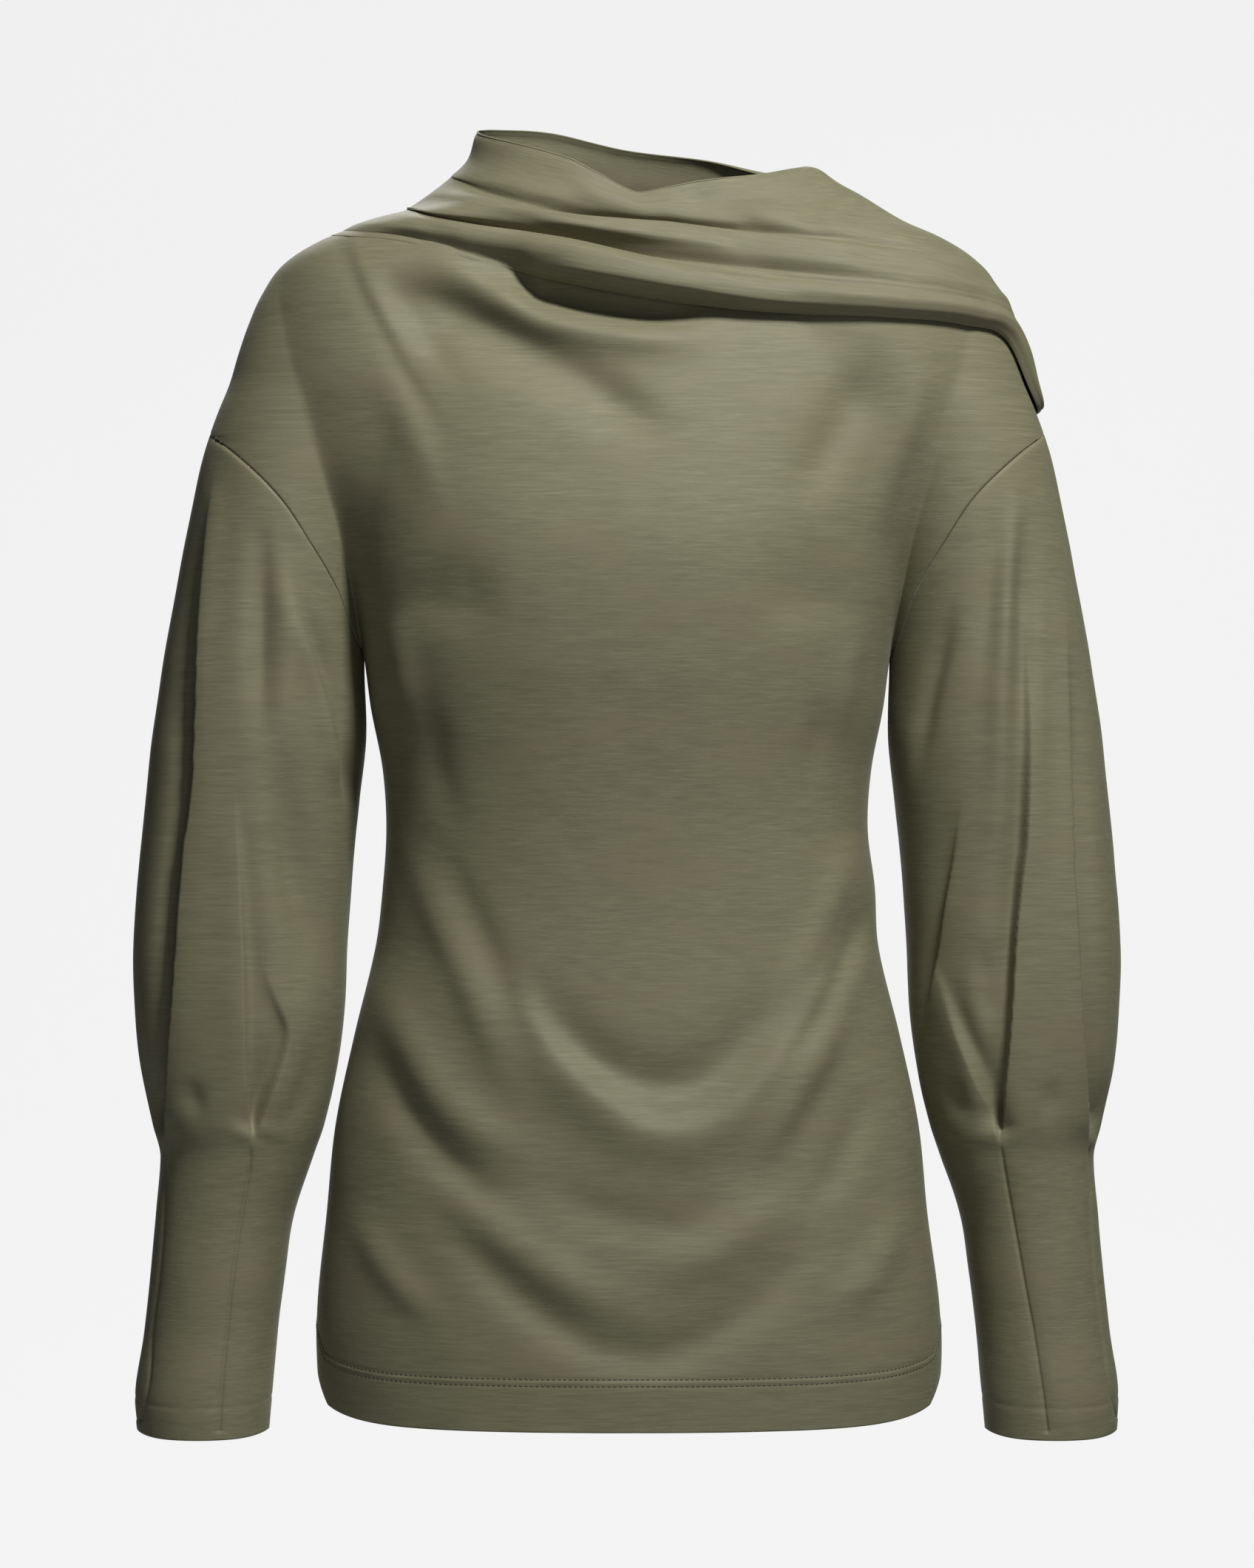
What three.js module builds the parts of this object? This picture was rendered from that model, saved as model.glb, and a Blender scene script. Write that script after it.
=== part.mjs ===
import * as THREE from 'three';

// Long sleeved cowl neck top, filled out as if worn and held up at the shoulders.
// Millimetres. +Z is up, the front faces -Y, +X is the viewer's right from the front.
// The origin lies between the shoulders at the height of the shoulder points.

// Cloth
const CLOTH = 1.2;          // thickness of one layer as built
const TURNED = 2.2;         // thickness where a hem is turned up
const SEAM = 0.3;           // space between two sewn edges
const HEM_TURN = 29;        // depth of the body hem
const CUFF_TURN = 18;       // depth of the cuff hem

// Heights
const NECKLINE = 5;         // neckline edge of front and back, under the cowl
const SHOULDER_POINT = -112;
const ARMPIT = -240;
const HEM_SIDE = -636;
const HEM_DROP = 24;        // centre of the hem below its sides
const CUFF = -669;

// Columns round one half of a body panel
const HALF_COLUMNS = 12;
const CREASE_COLUMN = 8;    // the column that follows the crease between chest and arm
const SLEEVE_COLUMNS = 28;
const COWL_FRONT_COLUMNS = 30;
const COWL_BACK_COLUMNS = 20;

// Body levels. left and right are the half widths of the trunk, front and back its depths,
// full is how square the section is.
const BODY = [
  { z: 70, left: 82, right: 84, front: 49, back: 50, full: 2.1 },
  { z: 50, left: 86, right: 88, front: 50, back: 53, full: 2.1 },
  { z: 38, left: 91, right: 97, front: 51, back: 56, full: 2.1 },
  { z: 27, left: 102, right: 111, front: 52, back: 58, full: 2.1 },
  { z: 20, left: 111, right: 125, front: 53, back: 60, full: 2.1 },
  { z: 11, left: 126, right: 141, front: 55, back: 63, full: 2.15 },
  { z: 5, left: 146, right: 152, front: 57, back: 65, full: 2.2 },
  { z: -4, left: 172, right: 172, front: 59, back: 68, full: 2.2 },
  { z: -17, left: 190, right: 190, front: 64, back: 73, full: 2.2 },
  { z: -34, left: 194, right: 194, front: 70, back: 79, full: 2.2 },
  { z: -51, left: 191, right: 191, front: 77, back: 83, full: 2.2 },
  { z: -75, left: 186, right: 186, front: 87, back: 87, full: 2.25 },
  { z: -100, left: 178, right: 178, front: 96, back: 90, full: 2.3 },
  { z: -134, left: 169, right: 169, front: 106, back: 91, full: 2.3 },
  { z: -171, left: 159, right: 159, front: 114, back: 89, full: 2.3 },
  { z: -202, left: 153, right: 153, front: 115, back: 89, full: 2.3 },
  { z: -240, left: 147, right: 147, front: 112, back: 87, full: 2.3 },
  { z: -266, left: 143.5, right: 143.5, front: 108, back: 83, full: 2.3 },
  { z: -300, left: 137, right: 137, front: 103, back: 76.5, full: 2.25 },
  { z: -333, left: 135, right: 135, front: 99, back: 69, full: 2.25 },
  { z: -366, left: 137, right: 139, front: 97, back: 69, full: 2.25 },
  { z: -399, left: 141, right: 141, front: 97, back: 71, full: 2.25 },
  { z: -449, left: 153, right: 153, front: 99, back: 78, full: 2.25 },
  { z: -499, left: 163.5, right: 163.5, front: 101, back: 86, full: 2.25 },
  { z: -549, left: 168.5, right: 168.5, front: 104, back: 93, full: 2.3 },
  { z: -598, left: 173.5, right: 175, front: 106, back: 98, full: 2.3 },
  { z: -632, left: 173.5, right: 176, front: 106, back: 99, full: 2.3 },
  { z: -670, left: 170, right: 172, front: 105, back: 98, full: 2.3 },
];

// Upper arm and shoulder levels, the same on both sides. middle and half give the extent in
// x, depth the extent in y.
const ARM = [
  { z: 70, middle: 30, half: 30, depth: 5 },
  { z: 20, middle: 50, half: 50, depth: 20 },
  { z: 5, middle: 88, half: 61, depth: 38 },
  { z: -4, middle: 105, half: 68, depth: 43 },
  { z: -17, middle: 124, half: 69, depth: 48 },
  { z: -34, middle: 140, half: 65, depth: 52 },
  { z: -51, middle: 151, half: 61.5, depth: 54 },
  { z: -67, middle: 160, half: 58, depth: 55 },
  { z: -84, middle: 168, half: 55, depth: 56 },
  { z: -100, middle: 176.5, half: 53, depth: 57 },
  { z: -117, middle: 182.5, half: 53, depth: 58 },
  { z: -134, middle: 187, half: 53, depth: 59 },
  { z: -170, middle: 194, half: 53.5, depth: 60 },
  { z: -200, middle: 199, half: 54, depth: 61 },
  { z: -240, middle: 203.7, half: 56.5, depth: 62 },
  { z: -283, middle: 206.5, half: 60, depth: 62 },
  { z: -316, middle: 210, half: 60, depth: 61 },
  { z: -350, middle: 213.5, half: 60, depth: 60 },
  { z: -400, middle: 217, half: 60, depth: 59 },
  { z: -432, middle: 217.3, half: 59, depth: 58 },
  { z: -466, middle: 217.8, half: 55.2, depth: 55 },
  { z: -499, middle: 218, half: 48, depth: 50 },
  { z: -515, middle: 218.8, half: 43.3, depth: 46 },
  { z: -549, middle: 225.7, half: 38.9, depth: 42 },
  { z: -582, middle: 229.7, half: 37.8, depth: 41 },
  { z: -615, middle: 233.5, half: 37.5, depth: 40 },
  { z: -648, middle: 237.4, half: 38.4, depth: 41 },
  { z: -680, middle: 238, half: 36, depth: 39 },
];

// Armhole seam, from the shoulder point (turn 0, outside) round to the armpit (turn 180).
const ARMHOLE = [
  { turn: 0, z: -112 },
  { turn: 22.5, z: -115 },
  { turn: 45, z: -122 },
  { turn: 67.5, z: -134 },
  { turn: 90, z: -151 },
  { turn: 112.5, z: -175 },
  { turn: 135, z: -199 },
  { turn: 157.5, z: -226 },
  { turn: 180, z: -240 },
];

// Cowl lines from the neck edge down to the folded bottom edge. Each column is a place round
// the body in degrees: the left shoulder line is -90, the middle of the front 0, the right
// shoulder line 90, the middle of the back 180.
const ROUND = [-90, -60, -40, -20, -8, 0, 8, 20, 40, 60, 76, 90, 120, 150, 180, 210, 240];
const COWL_LINES = {
  neck: [59.3, 50, 46, 36, 27, 17.4, 21, 24.7, 28.2, 32.6, 36.5, 38.8, 39.5, 46.5, 53, 62.5, 62.5],
  pleat: [27.4, 21.7, 15.5, 8, 5, 3.6, 2.4, 0, -7, -10, -13.5, -17.6, -3, 8, 15, 22, 26],
  second: [11.6, 7.5, 2.5, -4.2, -11, -17.3, -21.5, -25, -28.4, -32.8, -37, -41, -30, -18, -8, 3, 9],
  bottom: [1, -3.5, -9, -21, -31, -36, -40.5, -45, -46.3, -48, -55, -98, -86, -66, -40, -12, -2],
};

// How far each cowl feature stands out, as a share, at the same places.
const COWL_SHARES = {
  pleat: [0.2, 0.75, 1, 1, 1, 1, 1, 0.9, 0.6, 0.25, 0.1, 0, 0, 0, 0, 0, 0.05],
  second: [0.2, 0.8, 1, 1, 1, 0.9, 0.6, 0.25, 0, 0, 0, 0, 0, 0, 0, 0, 0.05],
  flap: [0, 0, 0, 0.1, 0.55, 0.8, 0.95, 1, 1, 1, 0.85, 0.45, 0.5, 0.5, 0.45, 0.25, 0.1],
};
const PLEAT_RISE = 6;
const SECOND_RISE = 7;
const FLAP_RISE = 10;
const PLEAT_STEP = 1.2;     // height in which the cloth steps out at a pleat's upper edge
const COWL_EASE = 3.3;      // outer face of the cowl over the body where it lies flat
const NECK_EASE = 2;

// Folds of the front. From one end to the other with a sag at the middle; rise is outward,
// above and below are the half widths on the two sides of the line.
const FRONT_FOLDS = [
  { x1: -162, z1: -2, x2: 66, z2: -58, sag: -11, rise: 7, above: 6, below: 11 },
  { x1: -150, z1: -24, x2: 22, z2: -112, sag: 10, rise: -4.5, above: 10, below: 13 },
  { x1: 150, z1: -66, x2: 98, z2: -150, sag: 4, rise: -4, above: 11, below: 14 },
  { x1: -161, z1: 4, x2: -100, z2: -96, sag: -4, rise: 3.5, above: 4, below: 9 },
  { x1: -126, z1: -325, x2: -50, z2: -492, sag: -6, rise: 3.5, above: 8, below: 8 },
  { x1: -66, z1: -410, x2: 134, z2: -370, sag: -108, rise: 4.5, above: 8, below: 12 },
  { x1: -50, z1: -410, x2: 120, z2: -375, sag: -82, rise: -4, above: 10, below: 8 },
  { x1: 127, z1: -325, x2: 78, z2: -445, sag: 4, rise: 3.5, above: 8, below: 8 },
  { x1: 134, z1: -368, x2: 78, z2: -470, sag: 3, rise: -4.5, above: 6, below: 5 },
  { x1: 116, z1: -438, x2: 66, z2: -524, sag: 3, rise: 3.5, above: 8, below: 9 },
  { x1: -142, z1: -410, x2: -30, z2: -516, sag: -14, rise: 3.5, above: 9, below: 9 },
  { x1: -118, z1: -525, x2: 122, z2: -535, sag: -92, rise: -3, above: 14, below: 12 },
  { x1: -100, z1: -530, x2: 92, z2: -536, sag: -52, rise: 3, above: 15, below: 13 },
  { x1: -128, z1: -210, x2: -121, z2: -290, sag: 0, rise: 3, above: 9, below: 9 },
  { x1: 126, z1: -210, x2: 119, z2: -290, sag: 0, rise: 3, above: 9, below: 9 },
];

const BACK_FOLDS = [
  { x1: -150, z1: -40, x2: -60, z2: -150, sag: 8, rise: -4, above: 11, below: 13 },
  { x1: 150, z1: -100, x2: 60, z2: -170, sag: 8, rise: -4, above: 11, below: 13 },
  { x1: -120, z1: -320, x2: -50, z2: -455, sag: -5, rise: 3.5, above: 9, below: 9 },
  { x1: 118, z1: -310, x2: 56, z2: -440, sag: 5, rise: 3.5, above: 9, below: 9 },
  { x1: -88, z1: -395, x2: 92, z2: -405, sag: -70, rise: 4, above: 9, below: 12 },
  { x1: -76, z1: -385, x2: 80, z2: -392, sag: -52, rise: -3.5, above: 9, below: 8 },
  { x1: -120, z1: -525, x2: 116, z2: -530, sag: -80, rise: -3, above: 14, below: 12 },
  { x1: -96, z1: -515, x2: 98, z2: -520, sag: -45, rise: 3, above: 14, below: 13 },
];

// Folds that run down a sleeve. turn is the place round it at the top, the middle and the
// foot of the fold: 0 outside, 90 front, 180 next to the body.
const SLEEVE_FOLDS = {
  left: [
    { top: -130, foot: -520, t1: 60, t2: 54, t3: 24, rise: 5, wide: 13 },
    { top: -150, foot: -520, t1: 38, t2: 34, t3: 8, rise: -6, wide: 11 },
    { top: -330, foot: -528, t1: 84, t2: 90, t3: 92, rise: 4, wide: 9 },
    { top: -290, foot: -530, t1: 90, t2: 103, t3: 110, rise: -6, wide: 9 },
    { top: -400, foot: -515, t1: 118, t2: 120, t3: 104, rise: 5, wide: 9 },
    { top: -240, foot: -400, t1: 128, t2: 122, t3: 130, rise: 3, wide: 12 },
    { top: -180, foot: -470, t1: 235, t2: 240, t3: 250, rise: -5, wide: 15 },
    { top: -200, foot: -500, t1: 275, t2: 272, t3: 280, rise: 4, wide: 16 },
    { top: -330, foot: -520, t1: 310, t2: 312, t3: 330, rise: -4, wide: 13 },
  ],
  right: [
    { top: -130, foot: -440, t1: 92, t2: 88, t3: 112, rise: 5, wide: 13 },
    { top: -200, foot: -525, t1: 72, t2: 80, t3: 101, rise: -7, wide: 11 },
    { top: -180, foot: -515, t1: 30, t2: 48, t3: 26, rise: 4, wide: 12 },
    { top: -220, foot: -520, t1: 14, t2: 24, t3: 6, rise: -5, wide: 11 },
    { top: -410, foot: -518, t1: 126, t2: 118, t3: 100, rise: 5, wide: 9 },
    { top: -400, foot: -520, t1: 108, t2: 104, t3: 88, rise: 4, wide: 8 },
    { top: -180, foot: -470, t1: 238, t2: 236, t3: 246, rise: -5, wide: 15 },
    { top: -210, foot: -500, t1: 268, t2: 276, t3: 284, rise: 4, wide: 16 },
    { top: -320, foot: -520, t1: 306, t2: 315, t3: 328, rise: -4, wide: 13 },
  ],
};

// The two stitched darts of a sleeve, drawn in where they are sewn.
const DART_TOP = -512;
const DARTS = [
  { t1: 20, t2: 28 },
  { t1: 101, t2: 104 },
];
const DART_DEPTH = 1.2;
const DART_WIDE = 5;

const DEG = Math.PI / 180;
const lerp = (a, b, t) => a + (b - a) * t;
const clamp = (t) => Math.min(1, Math.max(0, t));
const ease = (t) => clamp(t) * clamp(t) * (3 - 2 * clamp(t));

// Smooth curve through the rows of a table whose key column only falls or only rises.
function curve(keys, values, at) {
  const n = keys.length;
  const up = keys[n - 1] > keys[0];
  let i = 0;
  while (i < n - 2 && (up ? at > keys[i + 1] : at < keys[i + 1])) i += 1;
  const slope = (k) => {
    const a = Math.max(0, k - 1);
    const b = Math.min(n - 1, k + 1);
    return (values[b] - values[a]) / (keys[b] - keys[a]);
  };
  const span = keys[i + 1] - keys[i];
  const t = clamp((at - keys[i]) / span);
  const t2 = t * t;
  const t3 = t2 * t;
  return (2 * t3 - 3 * t2 + 1) * values[i] + (t3 - 2 * t2 + t) * span * slope(i)
    + (-2 * t3 + 3 * t2) * values[i + 1] + (t3 - t2) * span * slope(i + 1);
}

function column(table, key) {
  return table.map((row) => row[key]);
}

const tables = new Map();
function read(table, key, name, at) {
  const id = `${table === BODY ? 'body' : table === ARM ? 'arm' : 'hole'}_${key}_${name}`;
  if (!tables.has(id)) tables.set(id, [column(table, key), column(table, name)]);
  const [keys, values] = tables.get(id);
  return curve(keys, values, at);
}

const body = (name, z) => read(BODY, 'z', name, z);
const arm = (name, z) => read(ARM, 'z', name, z);
const armholeHeight = (turn) => read(ARMHOLE, 'turn', 'z', turn <= 180 ? turn : 360 - turn);
const armholeTurn = (z) => read(ARMHOLE, 'z', 'turn', z);

// One soft crease or ridge in a flat drawing of the panel.
function foldHeight(folds, x, z) {
  let sum = 0;
  for (const f of folds) {
    const lx = f.x2 - f.x1;
    const lz = f.z2 - f.z1;
    const long = Math.hypot(lx, lz);
    const t = ((x - f.x1) * lx + (z - f.z1) * lz) / (long * long);
    if (t <= 0 || t >= 1) continue;
    const steep = Math.abs(lx) > Math.abs(lz);
    let off;
    let along;
    if (steep) {
      along = (x - f.x1) / lx;
      if (along <= 0 || along >= 1) continue;
      off = z - (lerp(f.z1, f.z2, along) + f.sag * 4 * along * (1 - along));
      const lean = lz / lx + (f.sag / lx) * 4 * (1 - 2 * along);
      off /= Math.sqrt(1 + lean * lean);
    } else {
      along = (z - f.z1) / lz;
      if (along <= 0 || along >= 1) continue;
      off = (x - (lerp(f.x1, f.x2, along) + f.sag * 4 * along * (1 - along)));
      const lean = lx / lz + (f.sag / lz) * 4 * (1 - 2 * along);
      off /= Math.sqrt(1 + lean * lean);
      if (lx < 0 !== lz < 0) off = -off;
    }
    const wide = off > 0 ? f.above : f.below;
    const taper = Math.pow(Math.sin(Math.PI * along), 0.7);
    sum += f.rise * taper * Math.exp(-(off * off) / (wide * wide));
  }
  return sum;
}

// Depth of the filled out body at a place in the front view, chest and arm joined softly.
function depth(s, z, side, rearward) {
  const trunk = body(side < 0 ? 'left' : 'right', z);
  const full = body('full', z);
  const deep = body(rearward ? 'back' : 'front', z);
  const r = Math.abs(s) / trunk;
  const chest = r < 1 ? deep * Math.pow(1 - Math.pow(r, full), 1 / full) : 0;
  if (z <= ARMPIT) return chest;
  const q = (Math.abs(s) - arm('middle', z)) / arm('half', z);
  const limb = q * q < 1 ? arm('depth', z) * Math.sqrt(1 - q * q) : 0;
  const power = 3.2;
  return Math.pow(Math.pow(chest, power) + Math.pow(limb, power), 1 / power);
}

function halfWidth(side, z) {
  const trunk = body(side < 0 ? 'left' : 'right', z);
  if (z <= ARMPIT) return trunk;
  return Math.max(trunk, arm('middle', z) + arm('half', z));
}

// Edge of a body panel: side seam, armhole seam or shoulder seam.
function edgeX(side, z) {
  if (z <= ARMPIT || z >= SHOULDER_POINT) return halfWidth(side, z);
  const turn = armholeTurn(z);
  return arm('middle', z) + arm('half', z) * Math.cos(turn * DEG);
}

// A place on the outside of a body panel. c runs from -1 at the left seam to 1 at the right.
function bodyPoint(c, z, rearward) {
  const side = c < 0 ? -1 : 1;
  const k = Math.abs(c);
  const over = k > 1;
  const kk = over ? 2 - k : k;
  const edge = edgeX(side, z);
  const split = CREASE_COLUMN / HALF_COLUMNS;
  const turned = ease((z - ARMPIT) / 14) * (1 - ease((z - SHOULDER_POINT + 14) / 14));
  const crease = Math.min(body(side < 0 ? 'left' : 'right', z) * 0.985, edge * 0.965);
  const sine = Math.sin(72 * DEG);
  let x;
  if (kk <= split) {
    x = crease * Math.sin((kk / split) * 72 * DEG) / sine;
  } else {
    const t = (kk - split) / (1 - split);
    const round = Math.sin(t * 90 * DEG);
    x = lerp(crease, edge, lerp(round, t, turned));
  }
  if (over && turned > 0.5) x = 2 * edge - x;
  const back = over && turned <= 0.5 ? !rearward : rearward;
  let y = depth(x, z, side, back);
  const folds = rearward ? BACK_FOLDS : FRONT_FOLDS;
  y += foldHeight(folds, side * x, z) * ease((y - 8) / 34);
  return new THREE.Vector3(side * x, back ? y : -y, z);
}

function hemHeight(c) {
  const s = Math.sin(Math.min(1, Math.abs(c)) * 90 * DEG);
  return HEM_SIDE - HEM_DROP * (1 - Math.pow(s, 8));
}

// Rows of a body panel as a number that falls by one at each named level.
const UPPER_ROWS = [NECKLINE, -2, -10, -20, -32, -45, -58, -72, -86, -100];
const FRONT_ROWS = 18;        // rows between the armpit and the hem
const BACK_ROWS = 16;
const armholeRows = [];
for (let i = 0; i <= SLEEVE_COLUMNS / 2; i += 1) {
  armholeRows.push(armholeHeight(i * 360 / SLEEVE_COLUMNS));
}

// The sleeve. turn 0 is the outside, 90 the front, 180 next to the body.
function sleevePoint(side, turn, z) {
  const t = turn * DEG;
  const upper = ease((armholeHeight(((turn % 360) + 360) % 360) - z) / 40);
  let out = 0;
  const place = ((turn % 360) + 360) % 360;
  for (const f of side < 0 ? SLEEVE_FOLDS.left : SLEEVE_FOLDS.right) {
    const a = (f.top - z) / (f.top - f.foot);
    if (a <= 0 || a >= 1) continue;
    const at = lerp(lerp(f.t1, f.t2, a), lerp(f.t2, f.t3, a), a);
    let off = Math.abs(place - at);
    off = Math.min(off, 360 - off);
    out += f.rise * ease(a * 3) * ease((1 - a) * 5) * Math.exp(-(off * off) / (f.wide * f.wide));
  }
  const nearBody = ease((Math.abs(place - 180) - 18) / 30);
  out *= upper * nearBody;
  if (z < DART_TOP) {
    for (const d of DARTS) {
      const at = lerp(d.t1, d.t2, (DART_TOP - z) / (DART_TOP - CUFF));
      const off = Math.abs(place - at);
      out -= DART_DEPTH * ease((DART_TOP - z) / 20) * Math.exp(-(off * off) / (DART_WIDE * DART_WIDE));
    }
  }
  const x = arm('middle', z) + (arm('half', z) + out) * Math.cos(t);
  const y = -(arm('depth', z) + out) * Math.sin(t);
  return new THREE.Vector3(side * x, y, z);
}

// Cowl: a place on the filled out body, round the neck and shoulders.
function ringPoint(round, z, out) {
  const a = round * DEG;
  const s = Math.sin(a);
  const left = halfWidth(-1, z);
  const right = halfWidth(1, z);
  const x = (s < 0 ? left : right) * s;
  const rearward = Math.cos(a) < 0;
  let deep = depth(Math.abs(x), z, s, rearward);
  deep += foldHeight(rearward ? BACK_FOLDS : FRONT_FOLDS, x, z) * ease((deep - 8) / 34);
  const y = rearward ? deep : -deep;
  const turnX = s;
  const turnY = -Math.cos(a);
  return new THREE.Vector3(x + out * turnX, y + out * turnY, z + out * 0.35);
}

function onRound(values, round) {
  const keys = ROUND.concat([270]);
  const all = values.concat([values[0]]);
  let at = round;
  while (at < -90) at += 360;
  while (at >= 270) at -= 360;
  return curve(keys, all, at);
}

// The section of the cowl at one place: height and distance off the body of each turn.
function cowlSection(round) {
  const neck = onRound(COWL_LINES.neck, round);
  const pleat = onRound(COWL_LINES.pleat, round);
  const second = onRound(COWL_LINES.second, round);
  const bottom = onRound(COWL_LINES.bottom, round);
  const a = clamp(onRound(COWL_SHARES.pleat, round));
  const b = clamp(onRound(COWL_SHARES.second, round));
  const c = clamp(onRound(COWL_SHARES.flap, round));
  const base = (v) => COWL_EASE + FLAP_RISE * c * ease(v);
  const dip1 = lerp(pleat + 3, pleat + PLEAT_STEP, a);
  const dip2 = lerp(second + 3, second + PLEAT_STEP, b);
  const low = Math.min(4, (second - bottom) * 0.3);
  const r1 = base(0.3);
  const r2 = base(0.65);
  return [
    [neck, NECK_EASE],
    [lerp(neck, pleat, 0.45), lerp(NECK_EASE, r1, 0.5) + 1.2 * a],
    [lerp(neck, pleat, 0.86), lerp(r1, COWL_EASE + 0.6, a)],
    [dip1, lerp(r1, COWL_EASE, a)],
    [lerp(dip1, pleat, 0.6), r1 + PLEAT_RISE * 0.5 * a],
    [pleat - 1, r1 + PLEAT_RISE * a],
    [lerp(pleat, dip2, 0.28), r1 + PLEAT_RISE * 1.15 * a],
    [lerp(pleat, dip2, 0.72), lerp(r2, COWL_EASE + 1.4, b) + PLEAT_RISE * 0.5 * a * (1 - b)],
    [dip2, lerp(r2, COWL_EASE, b)],
    [lerp(dip2, second, 0.6), r2 + SECOND_RISE * 0.5 * b],
    [second - 1, r2 + SECOND_RISE * b],
    [second - low, base(0.85) + SECOND_RISE * 1.1 * b],
    [lerp(second - low, bottom, 0.5), base(1) + SECOND_RISE * b * 0.8],
    [lerp(second - low, bottom, 0.86), lerp(base(1), COWL_EASE, 0.3 * (1 - c)) + 2.5 * b],
    [bottom, lerp(COWL_EASE, base(1) * 0.82, c)],
    [bottom - 1.5, lerp(COWL_EASE, base(1) * 0.5, c)],
    [bottom - 2.4, lerp(COWL_EASE - 0.6, base(1) * 0.22, c)],
  ];
}

const SECTION_STEPS = 16;
const HALF_STEPS = [2, 4, 7, 9, 13];
const sections = new Map();
function cowlPoint(round, v) {
  const key = round.toFixed(4);
  if (!sections.has(key)) sections.set(key, cowlSection(round));
  const rows = sections.get(key);
  const f = Math.min(SECTION_STEPS - 1e-9, Math.max(0, v * SECTION_STEPS));
  const i = Math.floor(f);
  const t = f - i;
  const pick = (k) => {
    if (k < 0) return rows[0].map((r, m) => 2 * r - rows[1][m]);
    if (k > SECTION_STEPS) return rows[SECTION_STEPS].map((r, m) => 2 * r - rows[SECTION_STEPS - 1][m]);
    return rows[k];
  };
  const p = [pick(i - 1), pick(i), pick(i + 1), pick(i + 2)];
  const at = (m) => 0.5 * (2 * p[1][m] + (p[2][m] - p[0][m]) * t
    + (2 * p[0][m] - 5 * p[1][m] + 4 * p[2][m] - p[3][m]) * t * t
    + (3 * p[1][m] - p[0][m] - 3 * p[2][m] + p[3][m]) * t * t * t);
  return ringPoint(round, at(0), Math.max(1.2, at(1)));
}

// A wall of cloth from a grid of points on its outside. across and down list the grid lines,
// place gives the point, thick the thickness at a grid line.
function wall(name, across, down, place, thick, ring, flip, reach, colour) {
  const m = across.length;
  const n = down.length;
  const outer = [];
  const inner = [];
  for (let j = 0; j < n; j += 1) {
    for (let i = 0; i < m; i += 1) {
      const u = across[i];
      const v = down[j];
      const p = place(u, v);
      const du = place(u + reach[0], v).sub(place(u - reach[0], v));
      const dv = place(u, v + reach[1]).sub(place(u, v - reach[1]));
      const normal = du.cross(dv).normalize().multiplyScalar(-flip);
      outer.push(p);
      inner.push(p.clone().addScaledVector(normal, -thick(u, v)));
    }
  }
  const points = outer.concat(inner);
  const index = [];
  const half = outer.length;
  const quad = (a, b, c, d, mirrored) => {
    const corners = mirrored ? [a, c, d, a, d, b] : [a, c, b, b, c, d];
    if (flip < 0) corners.reverse();
    index.push(...corners);
  };
  const id = (i, j) => j * m + (i % m);
  const wide = ring ? m : m - 1;
  for (let j = 0; j < n - 1; j += 1) {
    for (let i = 0; i < wide; i += 1) {
      const a = id(i, j);
      const b = id(i + 1, j);
      const c = id(i, j + 1);
      const d = id(i + 1, j + 1);
      const mirrored = !ring && i < wide / 2;
      quad(a, b, c, d, mirrored);
      quad(half + b, half + a, half + d, half + c, !mirrored);
    }
  }
  for (let i = 0; i < wide; i += 1) {
    quad(half + id(i, 0), half + id(i + 1, 0), id(i, 0), id(i + 1, 0), false);
    quad(id(i, n - 1), id(i + 1, n - 1), half + id(i, n - 1), half + id(i + 1, n - 1), false);
  }
  if (!ring) {
    for (let j = 0; j < n - 1; j += 1) {
      quad(half + id(0, j), id(0, j), half + id(0, j + 1), id(0, j + 1), false);
      quad(id(m - 1, j), half + id(m - 1, j), id(m - 1, j + 1), half + id(m - 1, j + 1), false);
    }
  }
  const shape = new THREE.BufferGeometry();
  const flat = new Float32Array(points.length * 3);
  points.forEach((p, k) => p.toArray(flat, 3 * k));
  shape.setAttribute('position', new THREE.BufferAttribute(flat, 3));
  shape.setIndex(index);
  shape.computeVertexNormals();
  const cloth = new THREE.MeshStandardMaterial({ color: colour, roughness: 0.8, metalness: 0 });
  const mesh = new THREE.Mesh(shape, cloth);
  mesh.name = name;
  return mesh;
}

function bodyPanel(name, rearward, lower, colour) {
  const across = [];
  for (let i = -HALF_COLUMNS; i <= HALF_COLUMNS; i += 1) across.push(i / HALF_COLUMNS);
  const upper = UPPER_ROWS.length;
  const armholes = armholeRows.length;
  const rows = [];
  const foot = upper + armholes + lower;
  for (let j = 0; j < foot; j += 1) rows.push(j);
  const heightAt = (c, j) => {
    if (j < upper) {
      const k = Math.max(0, Math.floor(j));
      const next = k + 1 < upper ? UPPER_ROWS[k + 1] : armholeRows[0];
      return lerp(UPPER_ROWS[k], next, j - k);
    }
    if (j < upper + armholes - 1) {
      const k = Math.floor(j - upper);
      return lerp(armholeRows[k], armholeRows[k + 1], j - upper - k);
    }
    const t = (j - (upper + armholes - 1)) / lower;
    const hem = hemHeight(c);
    const turn = hem + HEM_TURN;
    const last = (lower - 3) / lower;
    if (t < last) return lerp(ARMPIT, turn + 1, t / last);
    return lerp(turn + 1, hem, Math.pow((t - last) / (1 - last), 1.3));
  };
  const shift = new THREE.Vector3(0, rearward ? SEAM / 2 : -SEAM / 2, 0);
  const place = (c, j) => bodyPoint(c, heightAt(c, j), rearward).add(shift);
  const thick = (c, j) => (j >= foot - 3 ? TURNED : CLOTH);
  return wall(name, across, rows, place, thick, false, rearward ? -1 : 1, [0.02, 0.12], colour);
}

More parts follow.
